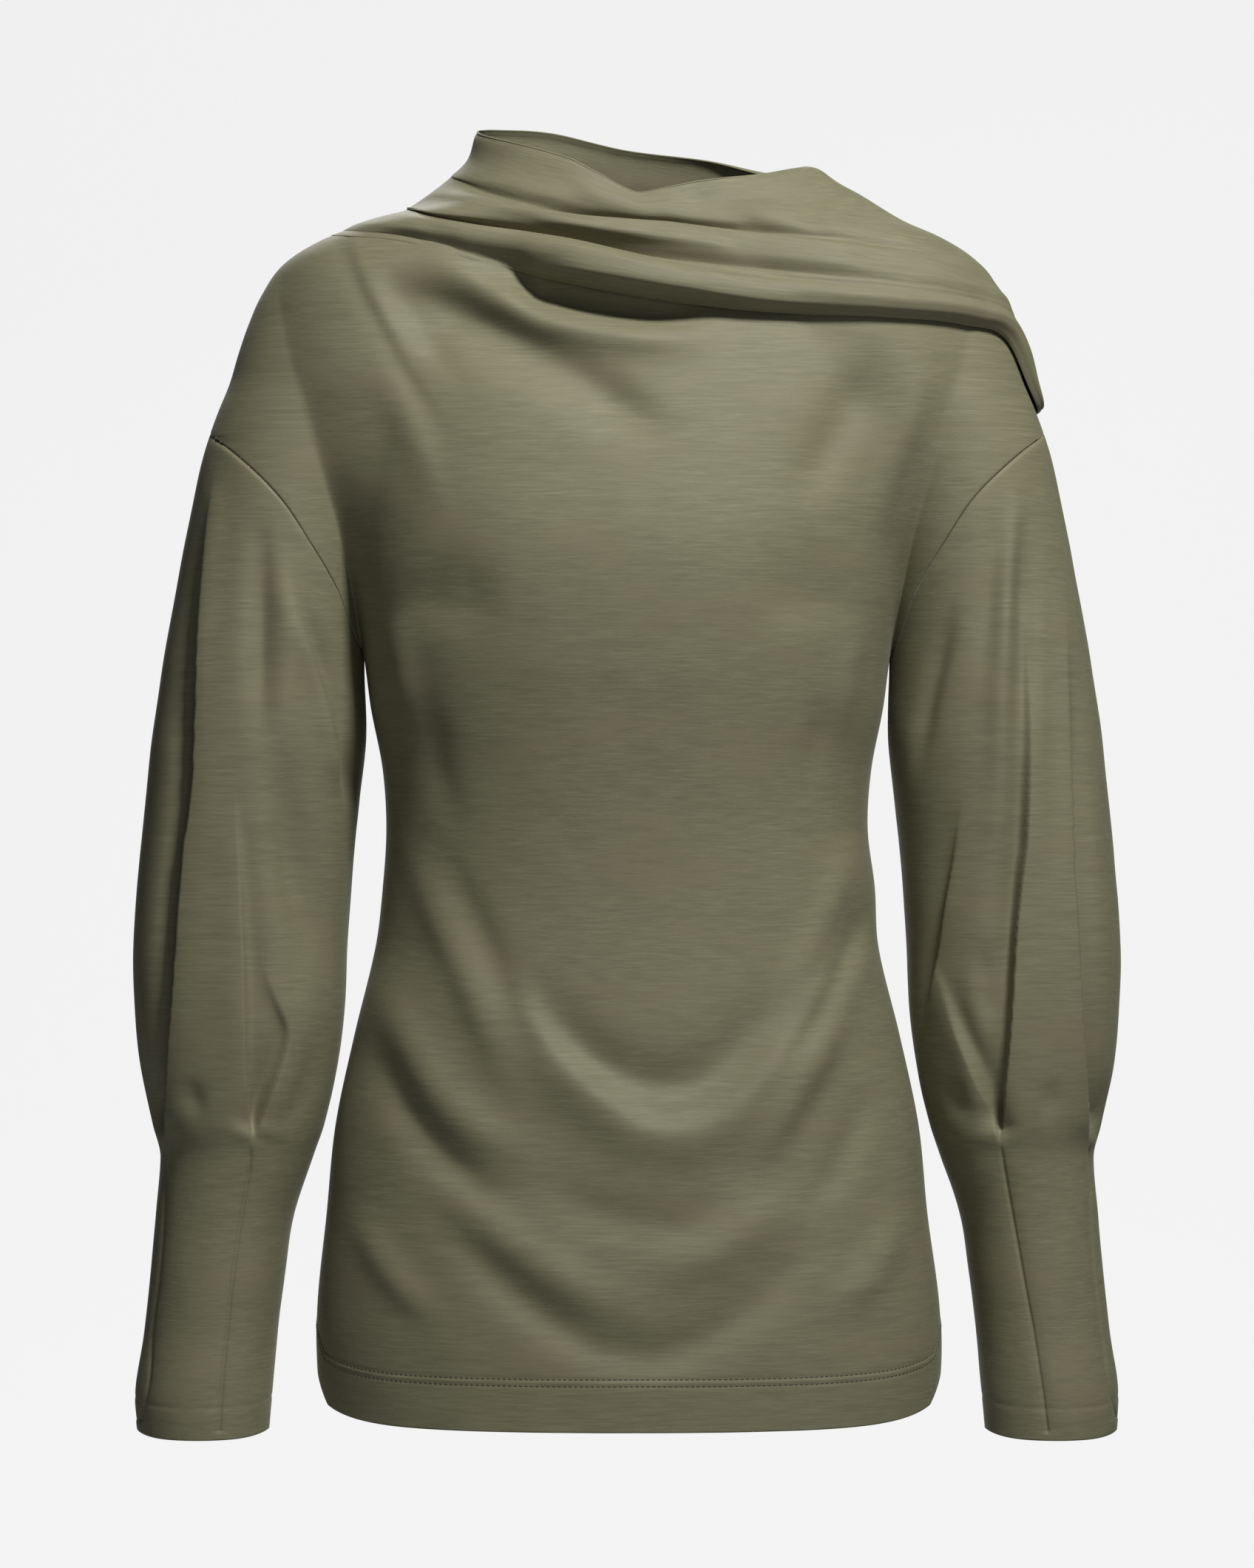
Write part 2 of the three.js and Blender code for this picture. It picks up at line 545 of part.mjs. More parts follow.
function sleeve(name, side, colour) {
  const across = [];
  for (let i = 0; i < SLEEVE_COLUMNS; i += 1) across.push(i * 360 / SLEEVE_COLUMNS);
  const rows = [];
  const down = 22;
  for (let j = 0; j <= down; j += 1) rows.push(j);
  const last = down - 2;
  const heightAt = (turn, j) => {
    const top = armholeHeight(((turn % 360) + 360) % 360) - SEAM * (3.7 + 2 * ease(2 - Math.abs(((turn % 360) + 360) % 360 - 180) / 20));
    const fold = CUFF + CUFF_TURN;
    const cuff = CUFF - 3 * ease(Math.sin(turn * DEG));
    if (j <= last) return lerp(top, fold + 1, j / last);
    return lerp(fold + 1, cuff, Math.pow((j - last) / 2, 1.6));
  };
  const place = (turn, j) => sleevePoint(side, turn, heightAt(turn, j));
  const thick = (turn, j) => (j > last ? TURNED : CLOTH);
  return wall(name, across, rows, place, thick, true, side < 0 ? 1 : -1, [5, 0.25], colour);
}

function cowl(name, colour) {
  const across = [];
  for (let i = 0; i < COWL_FRONT_COLUMNS; i += 1) across.push(-90 + 180 * i / COWL_FRONT_COLUMNS);
  for (let i = 0; i < COWL_BACK_COLUMNS; i += 1) across.push(90 + 180 * i / COWL_BACK_COLUMNS);
  const rows = [];
  for (let k = 0; k < SECTION_STEPS; k += 1) {
    rows.push(k / SECTION_STEPS);
    if (HALF_STEPS.includes(k)) rows.push((k + 0.5) / SECTION_STEPS);
  }
  rows.push(1);
  return wall(name, across, rows, cowlPoint, () => CLOTH, true, 1, [2, 0.012], colour);
}

const garment = new THREE.Group();
garment.name = 'cowl_neck_top';
garment.add(bodyPanel('front', false, FRONT_ROWS, 0x7d7b64));
garment.add(bodyPanel('back', true, BACK_ROWS, 0x75735c));
garment.add(sleeve('sleeve_left', -1, 0x77755e));
garment.add(sleeve('sleeve_right', 1, 0x77755e));
garment.add(cowl('cowl', 0x88866d));

export default garment;
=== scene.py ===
import math

import bpy
import numpy as np
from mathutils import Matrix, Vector


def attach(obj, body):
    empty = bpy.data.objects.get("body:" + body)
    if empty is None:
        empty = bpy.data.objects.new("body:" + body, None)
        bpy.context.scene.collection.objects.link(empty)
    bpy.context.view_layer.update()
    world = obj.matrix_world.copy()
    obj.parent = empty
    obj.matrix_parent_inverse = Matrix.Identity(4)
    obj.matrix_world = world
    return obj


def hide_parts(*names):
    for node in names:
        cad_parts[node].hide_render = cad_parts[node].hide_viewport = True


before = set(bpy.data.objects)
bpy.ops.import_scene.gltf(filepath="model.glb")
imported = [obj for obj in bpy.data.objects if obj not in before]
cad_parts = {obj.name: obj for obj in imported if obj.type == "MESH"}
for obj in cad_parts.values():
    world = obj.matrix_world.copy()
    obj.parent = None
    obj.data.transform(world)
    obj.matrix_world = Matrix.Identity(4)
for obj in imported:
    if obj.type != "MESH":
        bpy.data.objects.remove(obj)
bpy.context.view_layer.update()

# Sizes in millimetres. The front faces -Y, +Z is up, and +X is the viewer's right.
CLOTH = 1.1
TURNED_CLOTH = 0.9
TURNED_STEP = 2.0
SEAM = 0.3
HEM_TURN = 29.0
CUFF_TURN = 18.0
CUFF_DIP = 3.0
NECKLINE = 5.0
SHOULDER_POINT = -112.0
ARMPIT = -240.0
HEM_SIDE = -636.0
HEM_DROP = 24.0
CUFF = -669.0
TWIN_ROWS = 3.6
STITCH_PITCH = 3.0
STITCH_HALF_LENGTH = 1.1
STITCH_HALF_WIDTH = 0.4
STITCH_PROUD = 0.05
NEEDLE_DIP = 0.28
NEEDLE_WIDTH = 0.9
PANEL_HALF = 190.0

# How squarely the hem turns into the side seams, and the share of its width that is stitched.
HEM_CORNER = 8
STITCHED_SPAN = 0.985

# The camera stands level with the middle of the garment and sees this far up and down there.
EYE = (0.0, -3100.0, -308.0)
SEEN_HALF_HEIGHT = 440.0
SENSOR = 36.0

# How sharply the trunk and the shoulder flow into each other.
FLOW = 3.2

# This share of a half panel's columns lies on the trunk's face, over this turn in degrees. The
# face ends at these parts of the trunk's and of the panel's half width, whichever is less.
FACE_SHARE = 8 / 12
FACE_TURN = 72
FACE_OF_TRUNK = 0.985
FACE_OF_EDGE = 0.965

# Height at each end of the armhole over which the columns beside it change their spacing.
ARMHOLE_EASE = 14.0

# Creases are worked out as far as this many of their widths away.
CREASE_REACH = 3.2

# From this height up, and wholly once this much higher, the panels' creases stand straight out
# to the front or the back, as they do under the cowl.
COWL_FOOT = -95.0
COWL_FOOT_EASE = 35.0

# Shares of the way down that have finer rows, for the turned up hem and cuff.
HEM_SHARE = 0.082
CUFF_SHARE = 0.042

# The sleeve's columns are shifted by up to this many degrees, so that more lie on its front.
FRONT_CROWDING = 28

# How far the sleeve's head is raised into the shoulder point, from which cosine of its turn on,
# and over how much more of it.
SHOULDER_TUCK = 2.4
TUCK_FROM = 0.93
TUCK_OVER = 0.07

# Slight waviness of each piece: seed, size of the waves, and their rise.
WAVES = {
    "front": (5, 60, 0.5),
    "back": (3, 60, 0.5),
    "left": (9, 50, 0.45),
    "right": (11, 50, 0.45),
}

# Trunk levels: half widths to the viewer's left and right, depths, squareness.
BODY = [
    # z, left, right, front, back, full
    (70, 82, 84, 49, 50, 2.1),
    (50, 86, 88, 50, 53, 2.1),
    (38, 91, 97, 51, 56, 2.1),
    (27, 102, 111, 52, 58, 2.1),
    (20, 111, 125, 53, 60, 2.1),
    (11, 126, 141, 55, 63, 2.15),
    (5, 146, 152, 57, 65, 2.2),
    (-4, 172, 172, 59, 68, 2.2),
    (-17, 190, 190, 64, 73, 2.2),
    (-34, 194, 194, 70, 79, 2.2),
    (-51, 191, 191, 77, 83, 2.2),
    (-75, 186, 186, 87, 87, 2.25),
    (-100, 178, 178, 96, 90, 2.3),
    (-134, 169, 169, 106, 91, 2.3),
    (-171, 159, 159, 114, 89, 2.3),
    (-202, 153, 153, 115, 89, 2.3),
    (-240, 147, 147, 112, 87, 2.3),
    (-266, 143.5, 143.5, 108, 83, 2.3),
    (-300, 137, 137, 103, 76.5, 2.25),
    (-333, 135, 135, 99, 69, 2.25),
    (-366, 137, 139, 97, 69, 2.25),
    (-399, 141, 141, 97, 71, 2.25),
    (-449, 153, 153, 99, 78, 2.25),
    (-499, 163.5, 163.5, 101, 86, 2.25),
    (-549, 168.5, 168.5, 104, 93, 2.3),
    (-598, 173.5, 175, 106, 98, 2.3),
    (-632, 173.5, 176, 106, 99, 2.3),
    (-670, 170, 172, 105, 98, 2.3),
]

# Shoulder and sleeve levels, both sides alike.
ARM = [
    # z, middle, half width, depth
    (70, 30, 30, 5),
    (20, 50, 50, 20),
    (5, 88, 61, 38),
    (-4, 105, 68, 43),
    (-17, 124, 69, 48),
    (-34, 140, 65, 52),
    (-51, 151, 61.5, 54),
    (-67, 160, 58, 55),
    (-84, 168, 55, 56),
    (-100, 176.5, 53, 57),
    (-117, 182.5, 53, 58),
    (-134, 187, 53, 59),
    (-170, 194, 53.5, 60),
    (-200, 199, 54, 61),
    (-240, 203.7, 56.5, 62),
    (-283, 206.5, 60, 62),
    (-316, 210, 60, 61),
    (-350, 213.5, 60, 60),
    (-400, 217, 60, 59),
    (-432, 217.3, 59, 58),
    (-466, 217.8, 55.2, 55),
    (-499, 218, 48, 50),
    (-515, 218.8, 43.3, 46),
    (-549, 225.7, 38.9, 42),
    (-582, 229.7, 37.8, 41),
    (-615, 233.5, 37.5, 40),
    (-648, 237.4, 38.4, 41),
    (-680, 238, 36, 39),
]

# Armhole seam: turn round the sleeve in degrees (0 outside, 90 front, 180 underarm), height.
ARMHOLE = [
    (0, -112), (22.5, -115), (45, -122), (67.5, -134), (90, -151),
    (112.5, -175), (135, -199), (157.5, -226), (180, -240),
]

# The cowl at places round the body in degrees: -90 left shoulder line, 0 the middle of the
# front, 90 right shoulder line, 180 the middle of the back. First the heights of its neck edge,
# of the two pleats and of its foot. Then the shares, from 0 to 1, of each pleat, of the loose
# flap, of the neck drawn close, and of the neck edge rolled in.
COWL = [
    # at, neck, pleat, second, bottom, pleat_share, second_share, flap_share, snug, lip
    (-90, 59, 26, 10.5, 1, 0, 0, 0, 1, 0),
    (-60, 51.5, 19.6, 6.8, -3.5, 0.35, 0.25, 0, 0.5, 0),
    (-40, 45.3, 14.1, 0.6, -9, 0.85, 0.6, 0, 0.1, 0),
    (-20, 37, 6.1, -6.8, -23, 1, 0.9, 0.08, 0, 0),
    (-14, 32.6, 3.2, -10.8, -29, 1, 1, 0.5, 0, 0),
    (-8, 27.6, 0.5, -15.5, -34, 1, 1, 0.9, 0, 0),
    (0, 19.5, -1.7, -22.5, -40, 1, 0.9, 1, 0, 0),
    (3, 17.3, -2.4, -25, -42, 1, 0.8, 1, 0, 0),
    (8, 19.4, -3.4, -28, -44.6, 0.95, 0.6, 0.96, 0, 0),
    (20, 24.2, -7.9, -33.5, -49, 0.8, 0.25, 0.8, 0, 0),
    (40, 28.4, -15, -38, -51.4, 0.5, 0.05, 0.62, 0, 0.1),
    (60, 33.2, -21, -42, -54, 0.25, 0, 0.55, 0, 0.3),
    (76, 36, -23, -46, -61, 0.1, 0, 0.5, 0, 0.8),
    (90, 37.6, -23, -50, -98, 0.05, 0, 0.4, 0, 1),
    (120, 36.4, -3, -36, -86, 0, 0, 0.45, 0, 0.6),
    (150, 46.4, 8, -20, -66, 0, 0, 0.5, 0, 0.1),
    (180, 52.8, 15, -8, -40, 0, 0, 0.45, 0, 0),
    (210, 61.8, 22, 3, -12, 0, 0, 0.25, 0.1, 0),
    (240, 62, 26, 9, -2, 0, 0, 0.1, 0.6, 0),
    (270, 59, 26, 10.5, 1, 0, 0, 0, 1, 0),
]

# How far the two pleats and the flap stand out.
PLEAT_RISE = 6.0
SECOND_RISE = 6.0
FLAP_RISE = 10.0

# Height of the step over a sharp and over a faded pleat, and the most it takes of the cloth there.
PLEAT_STEP = 2.4
SOFT_STEP = 8.0
STEP_SHARE = 0.2

# How loosely the cowl and its neck edge lie, and how much closer where the neck is drawn close.
COWL_EASE = 3.3
NECK_EASE = 2.0
SNUG_COWL = 1.5
SNUG_NECK = 3.6

# Below this height the cowl stays at least this far off the body, and its foot is this thin
# where it isn't loose.
NECK_FREE = 9.0
LEAST_EASE = 0.3
FOOT_CLOTH = 0.3

# Soft hollows and swells of the cowl between its folds, in the columns of the front's creases.
COWL_CREASES = [
    ([(22, 19), (50, 17), (78, 11)], -3.0, 8, 9, 0.4, 0.4),
    ([(-34, 27), (-8, 20), (16, 17)], 1.6, 5, 6, 0.4, 0.5),
    ([(90, 15), (104, 11), (116, 7)], -2.0, 6, 6, 0.4, 0.4),
    ([(60, 9), (71, 6), (84, 3)], -1.6, 5, 5, 0.4, 0.4),
    ([(-120, 4), (-105, -1), (-90, -7)], -1.4, 6, 6, 0.4, 0.4),
    ([(-86, -8), (-70, -13), (-56, -19)], -1.2, 6, 6, 0.4, 0.4),
    ([(40, -12), (80, -18), (120, -20)], 1.4, 7, 7, 0.4, 0.4),
    ([(120, -8), (150, -14), (178, -26)], -1.8, 8, 8, 0.4, 0.4),
]

# Creases of the front, each a line as it looks from straight in front: its points, its height,
# the widths on its two sides (left hand and right hand side when it is followed), and how much
# of each end fades.
FRONT_CREASES = [
    # under the cowl: the roll below the flap, the hollow between them and its hooked left end
    ([(-122, -10), (-94, -22), (-75, -33), (-49, -46), (-18, -53), (17, -56), (66, -50)],
     8, 8, 11, 0.3, 0.35),
    ([(-66, -26), (-40, -35), (-12, -42), (20, -45), (56, -46)], -9, 6, 8, 0.25, 0.4),
    ([(-64, -14), (-60, -20), (-56, -28), (-50, -35), (-38, -40)], -5, 4, 5, 0.35, 0.4),
    ([(-142, -22), (-103, -42), (-65, -60), (-27, -79), (5, -100), (24, -122)], -6.4, 11, 17, 0.2, 0.25),
    # beside the tuck that runs down from the left shoulder
    ([(-140, -14), (-126, -38), (-106, -66), (-86, -92)], -2.2, 9, 7, 0.3, 0.5),
    ([(-146, -60), (-128, -92), (-112, -130), (-104, -165)], 2.5, 8, 12, 0.4, 0.5),
    # right side of the chest
    ([(150, -60), (128, -92), (110, -126), (92, -155)], -4.6, 14, 13, 0.4, 0.4),
    ([(172, -62), (158, -104), (146, -140), (140, -180)], 3.5, 9, 9, 0.4, 0.5),
    # below the bust and down the sides
    ([(-132, -196), (-104, -206), (-66, -206)], -3.2, 26, 14, 0.4, 0.4),
    ([(66, -206), (104, -204), (130, -194)], -2.8, 26, 14, 0.4, 0.4),
    ([(-130, -205), (-126, -245), (-121, -290)], 3, 8, 8, 0.4, 0.5),
    ([(126, -205), (124, -245), (118, -292)], 3, 8, 8, 0.4, 0.5),
    ([(-112, -250), (-106, -300), (-94, -340)], -2, 9, 9, 0.4, 0.5),
    ([(112, -250), (106, -292), (98, -330)], -2, 9, 9, 0.4, 0.5),
    # waist and hip
    ([(-130, -322), (-103, -388), (-86, -427), (-70, -466), (-50, -504)], 3.2, 12, 10, 0.4, 0.4),
    ([(-114, -330), (-82, -392), (-62, -440), (-46, -476)], -2.2, 9, 11, 0.4, 0.4),
    ([(-78, -395), (-64, -427), (-42, -460), (-20, -482), (8, -502), (35, -504), (58, -493),
      (91, -454), (118, -410), (138, -375)],
     6.4, 9, 19, 0.3, 0.2),
    ([(-56, -405), (-38, -442), (-12, -466), (24, -477), (52, -466), (78, -436), (98, -405)],
     -4.5, 15, 8, 0.3, 0.3),
    ([(132, -330), (113, -377), (96, -416), (80, -446)], 3.4, 9, 9, 0.4, 0.4),
    ([(140, -368), (118, -413), (102, -444), (80, -472)], -4, 7, 7, 0.35, 0.4),
    ([(124, -430), (91, -488), (66, -532)], 5, 9, 10, 0.4, 0.4),
    ([(-145, -405), (-108, -477), (-81, -504), (-34, -522)], 4, 12, 12, 0.35, 0.4),
    ([(-150, -440), (-118, -500), (-88, -530), (-50, -548)], -4, 10, 11, 0.4, 0.4),
    ([(-122, -530), (-75, -582), (-42, -610), (-9, -626), (30, -626), (74, -598), (124, -545)],
     -4, 14, 11, 0.3, 0.3),
    ([(-116, -520), (-75, -560), (-20, -594), (20, -596)], 4, 13, 14, 0.4, 0.4),
    ([(8, -588), (50, -570), (100, -536)], 4, 14, 12, 0.4, 0.4),
    ([(-60, -520), (-20, -548), (30, -556), (70, -540)], -3, 13, 13, 0.4, 0.4),
    ([(140, -470), (120, -520), (96, -556)], -3, 9, 10, 0.4, 0.4),
    ([(-158, -540), (-130, -586), (-98, -616)], 3, 10, 9, 0.4, 0.4),
    ([(158, -540), (136, -584), (106, -612)], 3, 10, 9, 0.4, 0.4),
]

# Sharp folded edges of the front, in the columns of the sleeve pleats below.
FRONT_PLEATS = [
    ([(-158, 2), (-148, -25), (-134, -52), (-120, -77), (-104, -100), (-88, -122)],
     -1, 0.7, 10, 1.5, 10, 0.04, 0.7),
]

BACK_CREASES = [
    ([(-150, -40), (-110, -86), (-60, -140)], -4, 11, 12, 0.4, 0.4),
    ([(150, -100), (110, -126), (60, -170)], -4, 11, 12, 0.4, 0.4),
    ([(-146, -70), (-120, -130), (-108, -180)], 2.5, 9, 9, 0.4, 0.4),
    ([(150, -90), (124, -140), (110, -185)], 2.5, 9, 9, 0.4, 0.4),
    ([(-70, -120), (-20, -152), (30, -156), (74, -134)], -2.2, 12, 12, 0.4, 0.4),
    ([(-124, -318), (-92, -380), (-58, -446)], 3.4, 8, 9, 0.3, 0.4),
    ([(122, -312), (90, -376), (58, -440)], 3.4, 8, 9, 0.3, 0.4),
    ([(-92, -390), (-48, -444), (0, -468), (50, -446), (94, -396)], 4, 8, 12, 0.3, 0.3),
    ([(-78, -380), (-40, -420), (4, -440), (44, -420), (82, -384)], -3.4, 10, 7, 0.3, 0.3),
    ([(-140, -420), (-104, -478), (-60, -508)], 3, 9, 9, 0.3, 0.4),
    ([(138, -426), (100, -482), (58, -512)], 3, 9, 9, 0.3, 0.4),
    ([(-124, -522), (-60, -588), (4, -612), (66, -586), (120, -524)], -2.6, 13, 12, 0.3, 0.3),
    ([(-100, -516), (-44, -556), (10, -566), (60, -546), (100, -514)], 2.6, 13, 13, 0.3, 0.3),
]

# Creases down the sleeves, on the front as seen, with x counted outwards from the middle of
# the body.
SLEEVE_CREASES = {
    "left": [
        ([(229, -116), (238.6, -211), (244, -300)], 2.4, 9, 7, 0.3, 0.5),
        ([(206, -140), (205, -200), (206, -300)], -4, 8, 7, 0.5, 0.4),
        ([(196, -160), (190, -240), (192, -310)], 2.5, 8, 8, 0.5, 0.5),
        ([(196, -186), (180, -228), (168, -262), (157, -318)], 4, 9, 4, 0.4, 0.2),
        ([(188, -196), (172, -240), (162, -276), (154, -325)], -5, 4, 7, 0.4, 0.2),
        ([(196, -270), (188, -340), (180, -400), (182, -440)], -8, 12, 13, 0.5, 0.5),
        ([(172, -440), (180, -478), (196, -508)], -2, 7, 7, 0.5, 0.4),
        ([(246, -470), (240, -500)], -2, 6, 6, 0.5, 0.5),
    ],
    "right": [
        ([(217.5, -117), (211, -255), (209.6, -324), (201, -384)], 4, 6, 8, 0.25, 0.5),
        ([(222, -150), (224, -240), (222, -300)], -6, 8, 8, 0.4, 0.5),
        ([(236, -140), (239, -220), (240, -330), (241, -420)], -2, 7, 7, 0.5, 0.5),
        ([(213, -130), (205, -200), (200, -270)], -3, 8, 8, 0.4, 0.5),
        ([(186, -200), (170, -256), (160, -310)], -4, 6, 5, 0.4, 0.4),
        ([(200, -392), (201, -424), (204, -450)], -2.5, 6, 6, 0.4, 0.4),
        ([(178, -470), (190, -500)], -2, 6, 6, 0.5, 0.5),
        ([(240, -470), (236, -500)], -1.5, 6, 6, 0.5, 0.5),
    ],
}

# Sharp folded edges let go from the darts: the line, the side that its hollow lies on (1
# outwards, -1 towards the body), rise and width of the fold, depth and width of the hollow,
# and how much of each end fades.
PLEAT_EDGE = 2.2
SLEEVE_PLEATS = {
    "left": [
        ([(229, -116), (234, -160), (238.6, -211), (242, -270), (244, -311), (248.5, -345),
          (251.7, -377), (253.6, -409), (255.7, -438), (257.7, -465), (259.7, -509)],
         1, 2.0, 14, 15, 10, 0.5, 0.05),
        ([(221.2, -304), (218.2, -345), (216.6, -377), (215.3, -409), (214.7, -441),
          (214, -470), (211.4, -512)],
         -1, 1.8, 12, 5, 14, 0.5, 0.08),
        ([(206, -398), (200.6, -420), (194.2, -435), (190.2, -447), (192.6, -462),
          (199, -481), (208.8, -508)],
         1, 2.6, 11, 7, 12, 0.85, 0.08),
    ],
    "right": [
        ([(226, -200), (226.5, -280), (224.6, -340), (221.9, -361), (218.7, -393),
          (217, -425), (214.7, -457), (212.3, -481), (209.9, -511)],
         -1, 2.0, 13, 12, 13, 0.6, 0.06),
        ([(246.9, -202), (249.6, -300), (250.6, -345), (253.8, -409), (257, -465), (259.4, -509)],
         1, 2.0, 13, 12, 8, 0.5, 0.05),
        ([(168, -396), (176.4, -418), (181, -434), (186, -449), (192.4, -465),
          (197.1, -478), (203.6, -494), (209.1, -511)],
         1, 2.6, 9, 6.5, 10, 0.7, 0.08),
        ([(189, -310), (184.4, -345), (180.4, -369), (174.8, -406), (170, -433), (166, -457)],
         -1, 2.0, 10, 5, 9, 0.5, 0.35),
    ],
}

# Creases down the back of a sleeve, in the columns of those on its front.
SLEEVE_BACK_CREASES = [
    ([(228, -130), (236, -240), (238, -340), (232, -440), (226, -505)], 3, 7, 8, 0.4, 0.2),
    ([(214, -170), (218, -280), (214, -390), (212, -500)], -5, 8, 8, 0.6, 0.1),
    ([(200, -170), (192, -280), (188, -380), (196, -480)], 3, 8, 8, 0.5, 0.2),
    ([(248, -220), (255, -330), (250, -430), (240, -505)], -4, 8, 8, 0.6, 0.1),
    ([(188, -200), (170, -262), (158, -330)], -3, 6, 7, 0.4, 0.3),
    ([(180, -360), (176, -430), (188, -500)], -2.5, 7, 8, 0.5, 0.3),
]

# Dart seams from the pleats down to the cuff, as seen from the front, and the two dips of the
# cloth along them: height, the widths on both sides, and how much of each end fades.
DART_SEAM = (-1.1, 0.9, 0.9, 0.03, 0.001)
DART_HOLLOW = (-0.7, 4, 4, 0.1, 0.001)
DARTS = {
    "left": [
        [(259.8, -509), (260.2, -545), (262.3, -578), (266.4, -611), (269, -645), (273.5, -666)],
        [(211.2, -511), (212, -525), (216.2, -551), (221.2, -586), (223.7, -611), (227, -645),
         (228.7, -672)],
    ],
    "right": [
        [(210, -511), (211.2, -522), (216.2, -551), (222.8, -588), (228.7, -620), (233.6, -653),
         (236, -672)],
        [(260, -509), (261, -545), (262.7, -578), (266.4, -611), (270.6, -641), (275.5, -664)],
    ],
}


def smooth(t):
    """A soft step from 0 to 1."""
    t = np.clip(t, 0.0, 1.0)
    return t * t * (3 - 2 * t)


def curve(keys, values, at):
    """A smooth line through a table's rows."""
    keys, values, at = (np.asarray(k, float) for k in (keys, values, at))
    if keys[-1] < keys[0]:
        keys, values = keys[::-1], values[::-1]
    slope = np.empty_like(values)
    slope[1:-1] = (values[2:] - values[:-2]) / (keys[2:] - keys[:-2])
    slope[0] = (values[1] - values[0]) / (keys[1] - keys[0])
    slope[-1] = (values[-1] - values[-2]) / (keys[-1] - keys[-2])
    i = np.clip(np.searchsorted(keys, at) - 1, 0, len(keys) - 2)
    span = keys[i + 1] - keys[i]
    t = np.clip((at - keys[i]) / span, 0, 1)
    t2, t3 = t * t, t * t * t
    return (
        (2 * t3 - 3 * t2 + 1) * values[i]
        + (t3 - 2 * t2 + t) * span * slope[i]
        + (3 * t2 - 2 * t3) * values[i + 1]
        + (t3 - t2) * span * slope[i + 1]
    )


def by_name(names, table):
    """A table's columns by their names."""
    return dict(zip(names.split(), np.array(table, float).T))


BODY_COLUMNS = by_name("z left right front back full", BODY)
ARM_COLUMNS = by_name("z middle half depth", ARM)
ARMHOLE_COLUMNS = by_name("turn z", ARMHOLE)
COWL_COLUMNS = by_name(
    "at neck pleat second bottom pleat_share second_share flap_share snug lip", COWL
)


def body(name, z):
    return curve(BODY_COLUMNS["z"], BODY_COLUMNS[name], z)


def arm(name, z):
    return curve(ARM_COLUMNS["z"], ARM_COLUMNS[name], z)


def armhole_height(turn):
    turn = np.mod(turn, 360)
    turn = np.where(turn > 180, 360 - turn, turn)
    return curve(ARMHOLE_COLUMNS["turn"], ARMHOLE_COLUMNS["z"], turn)


def armhole_turn(z):
    return curve(ARMHOLE_COLUMNS["z"], ARMHOLE_COLUMNS["turn"], z)


def as_seen(points):
    """Where points of the front look to be, drawn on the plane of the side seams."""
    grow = 1 + np.maximum(-points[..., 1], 0) / -EYE[1]
    x = points[..., 0] * grow
    z = EYE[2] + (points[..., 2] - EYE[2]) * grow
    return x, z


def near_line(points, x, z, reach):
    """Places near a drawn line: which they are, how far off, on which side, and how far along."""
    p = np.array(points, float)
    steps = np.concatenate([[0], np.cumsum(np.hypot(*np.diff(p, axis=0).T))])
    fine = np.linspace(0, steps[-1], max(8, int(steps[-1] / 4)))
    line = np.stack([curve(steps, p[:, k], fine) for k in (0, 1)], axis=1)
    low, high = line.min(0) - reach, line.max(0) + reach
    near = (x > low[0]) & (x < high[0]) & (z > low[1]) & (z < high[1])
    q = np.stack([x[near], z[near]], axis=1)
    best = np.full(len(q), 1e9)
    side = np.zeros(len(q))
    along = np.zeros(len(q))
    for k in range(len(line) - 1):
        d = line[k + 1] - line[k]
        rel = q - line[k]
        t = np.clip((rel @ d) / (d @ d), 0, 1)
        off = rel - t[:, None] * d
        far = np.hypot(off[:, 0], off[:, 1])
        new = far < best
        best = np.where(new, far, best)
        side = np.where(new, np.sign(d[0] * rel[:, 1] - d[1] * rel[:, 0]), side)
        along = np.where(new, (k + t) / (len(line) - 1), along)
    return near, best, side, along


def crease_height(rows, x, z):
    """How far a table of creases lifts the cloth at places in its drawing."""
    total = np.zeros(np.broadcast(x, z).shape)
    for points, rise, left, right, fade_in, fade_out in rows:
        near, far, side, along = near_line(points, x, z, CREASE_REACH * max(left, right))
        wide = np.where(side > 0, left, right)
        fade = smooth(along / fade_in) * smooth((1 - along) / fade_out)
        total[near] += rise * fade * np.exp(-((far / wide) ** 2))
    return total


def pleat_height(rows, x, z):
    """The same for sharp folded edges, which drop at once into the hollow beside them."""
    total = np.zeros(np.broadcast(x, z).shape)
    for points, hollow_side, rise, wide, hollow, hollow_wide, fade_in, fade_out in rows:
        near, far, side, along = near_line(points, x, z, CREASE_REACH * max(wide, hollow_wide))
        drop = 1 - np.exp(-far / PLEAT_EDGE)
        inside = rise * (1 - drop) - hollow * drop * np.exp(-((far / hollow_wide) ** 2))
        raised = rise * np.exp(-((far / wide) ** 2))
        fade = smooth(along / fade_in) * smooth((1 - along) / fade_out)
        total[near] += fade * np.where(side * hollow_side > 0, inside, raised)
    return total


def trunk_depth(x, z, side, rearward):
    """Depth of the filled out trunk and shoulder."""
    wide = np.where(side < 0, body("left", z), body("right", z))
    full = body("full", z)
    deep = np.where(rearward, body("back", z), body("front", z))
    r = np.minimum(np.abs(x) / wide, 1)
    chest = deep * np.power(1 - np.power(r, full), 1 / full)
    q = (np.abs(x) - arm("middle", z)) / arm("half", z)
    limb = arm("depth", z) * np.sqrt(np.maximum(1 - q * q, 0))
    limb = np.where(z <= ARMPIT, 0, limb)
    return np.power(chest**FLOW + limb**FLOW, 1 / FLOW)


def off_the_side(depth, calm=8.0, ease=34.0):
    """How much of a crease shows: none this near the plane of the side seams, then more."""
    return smooth((depth - calm) / ease)


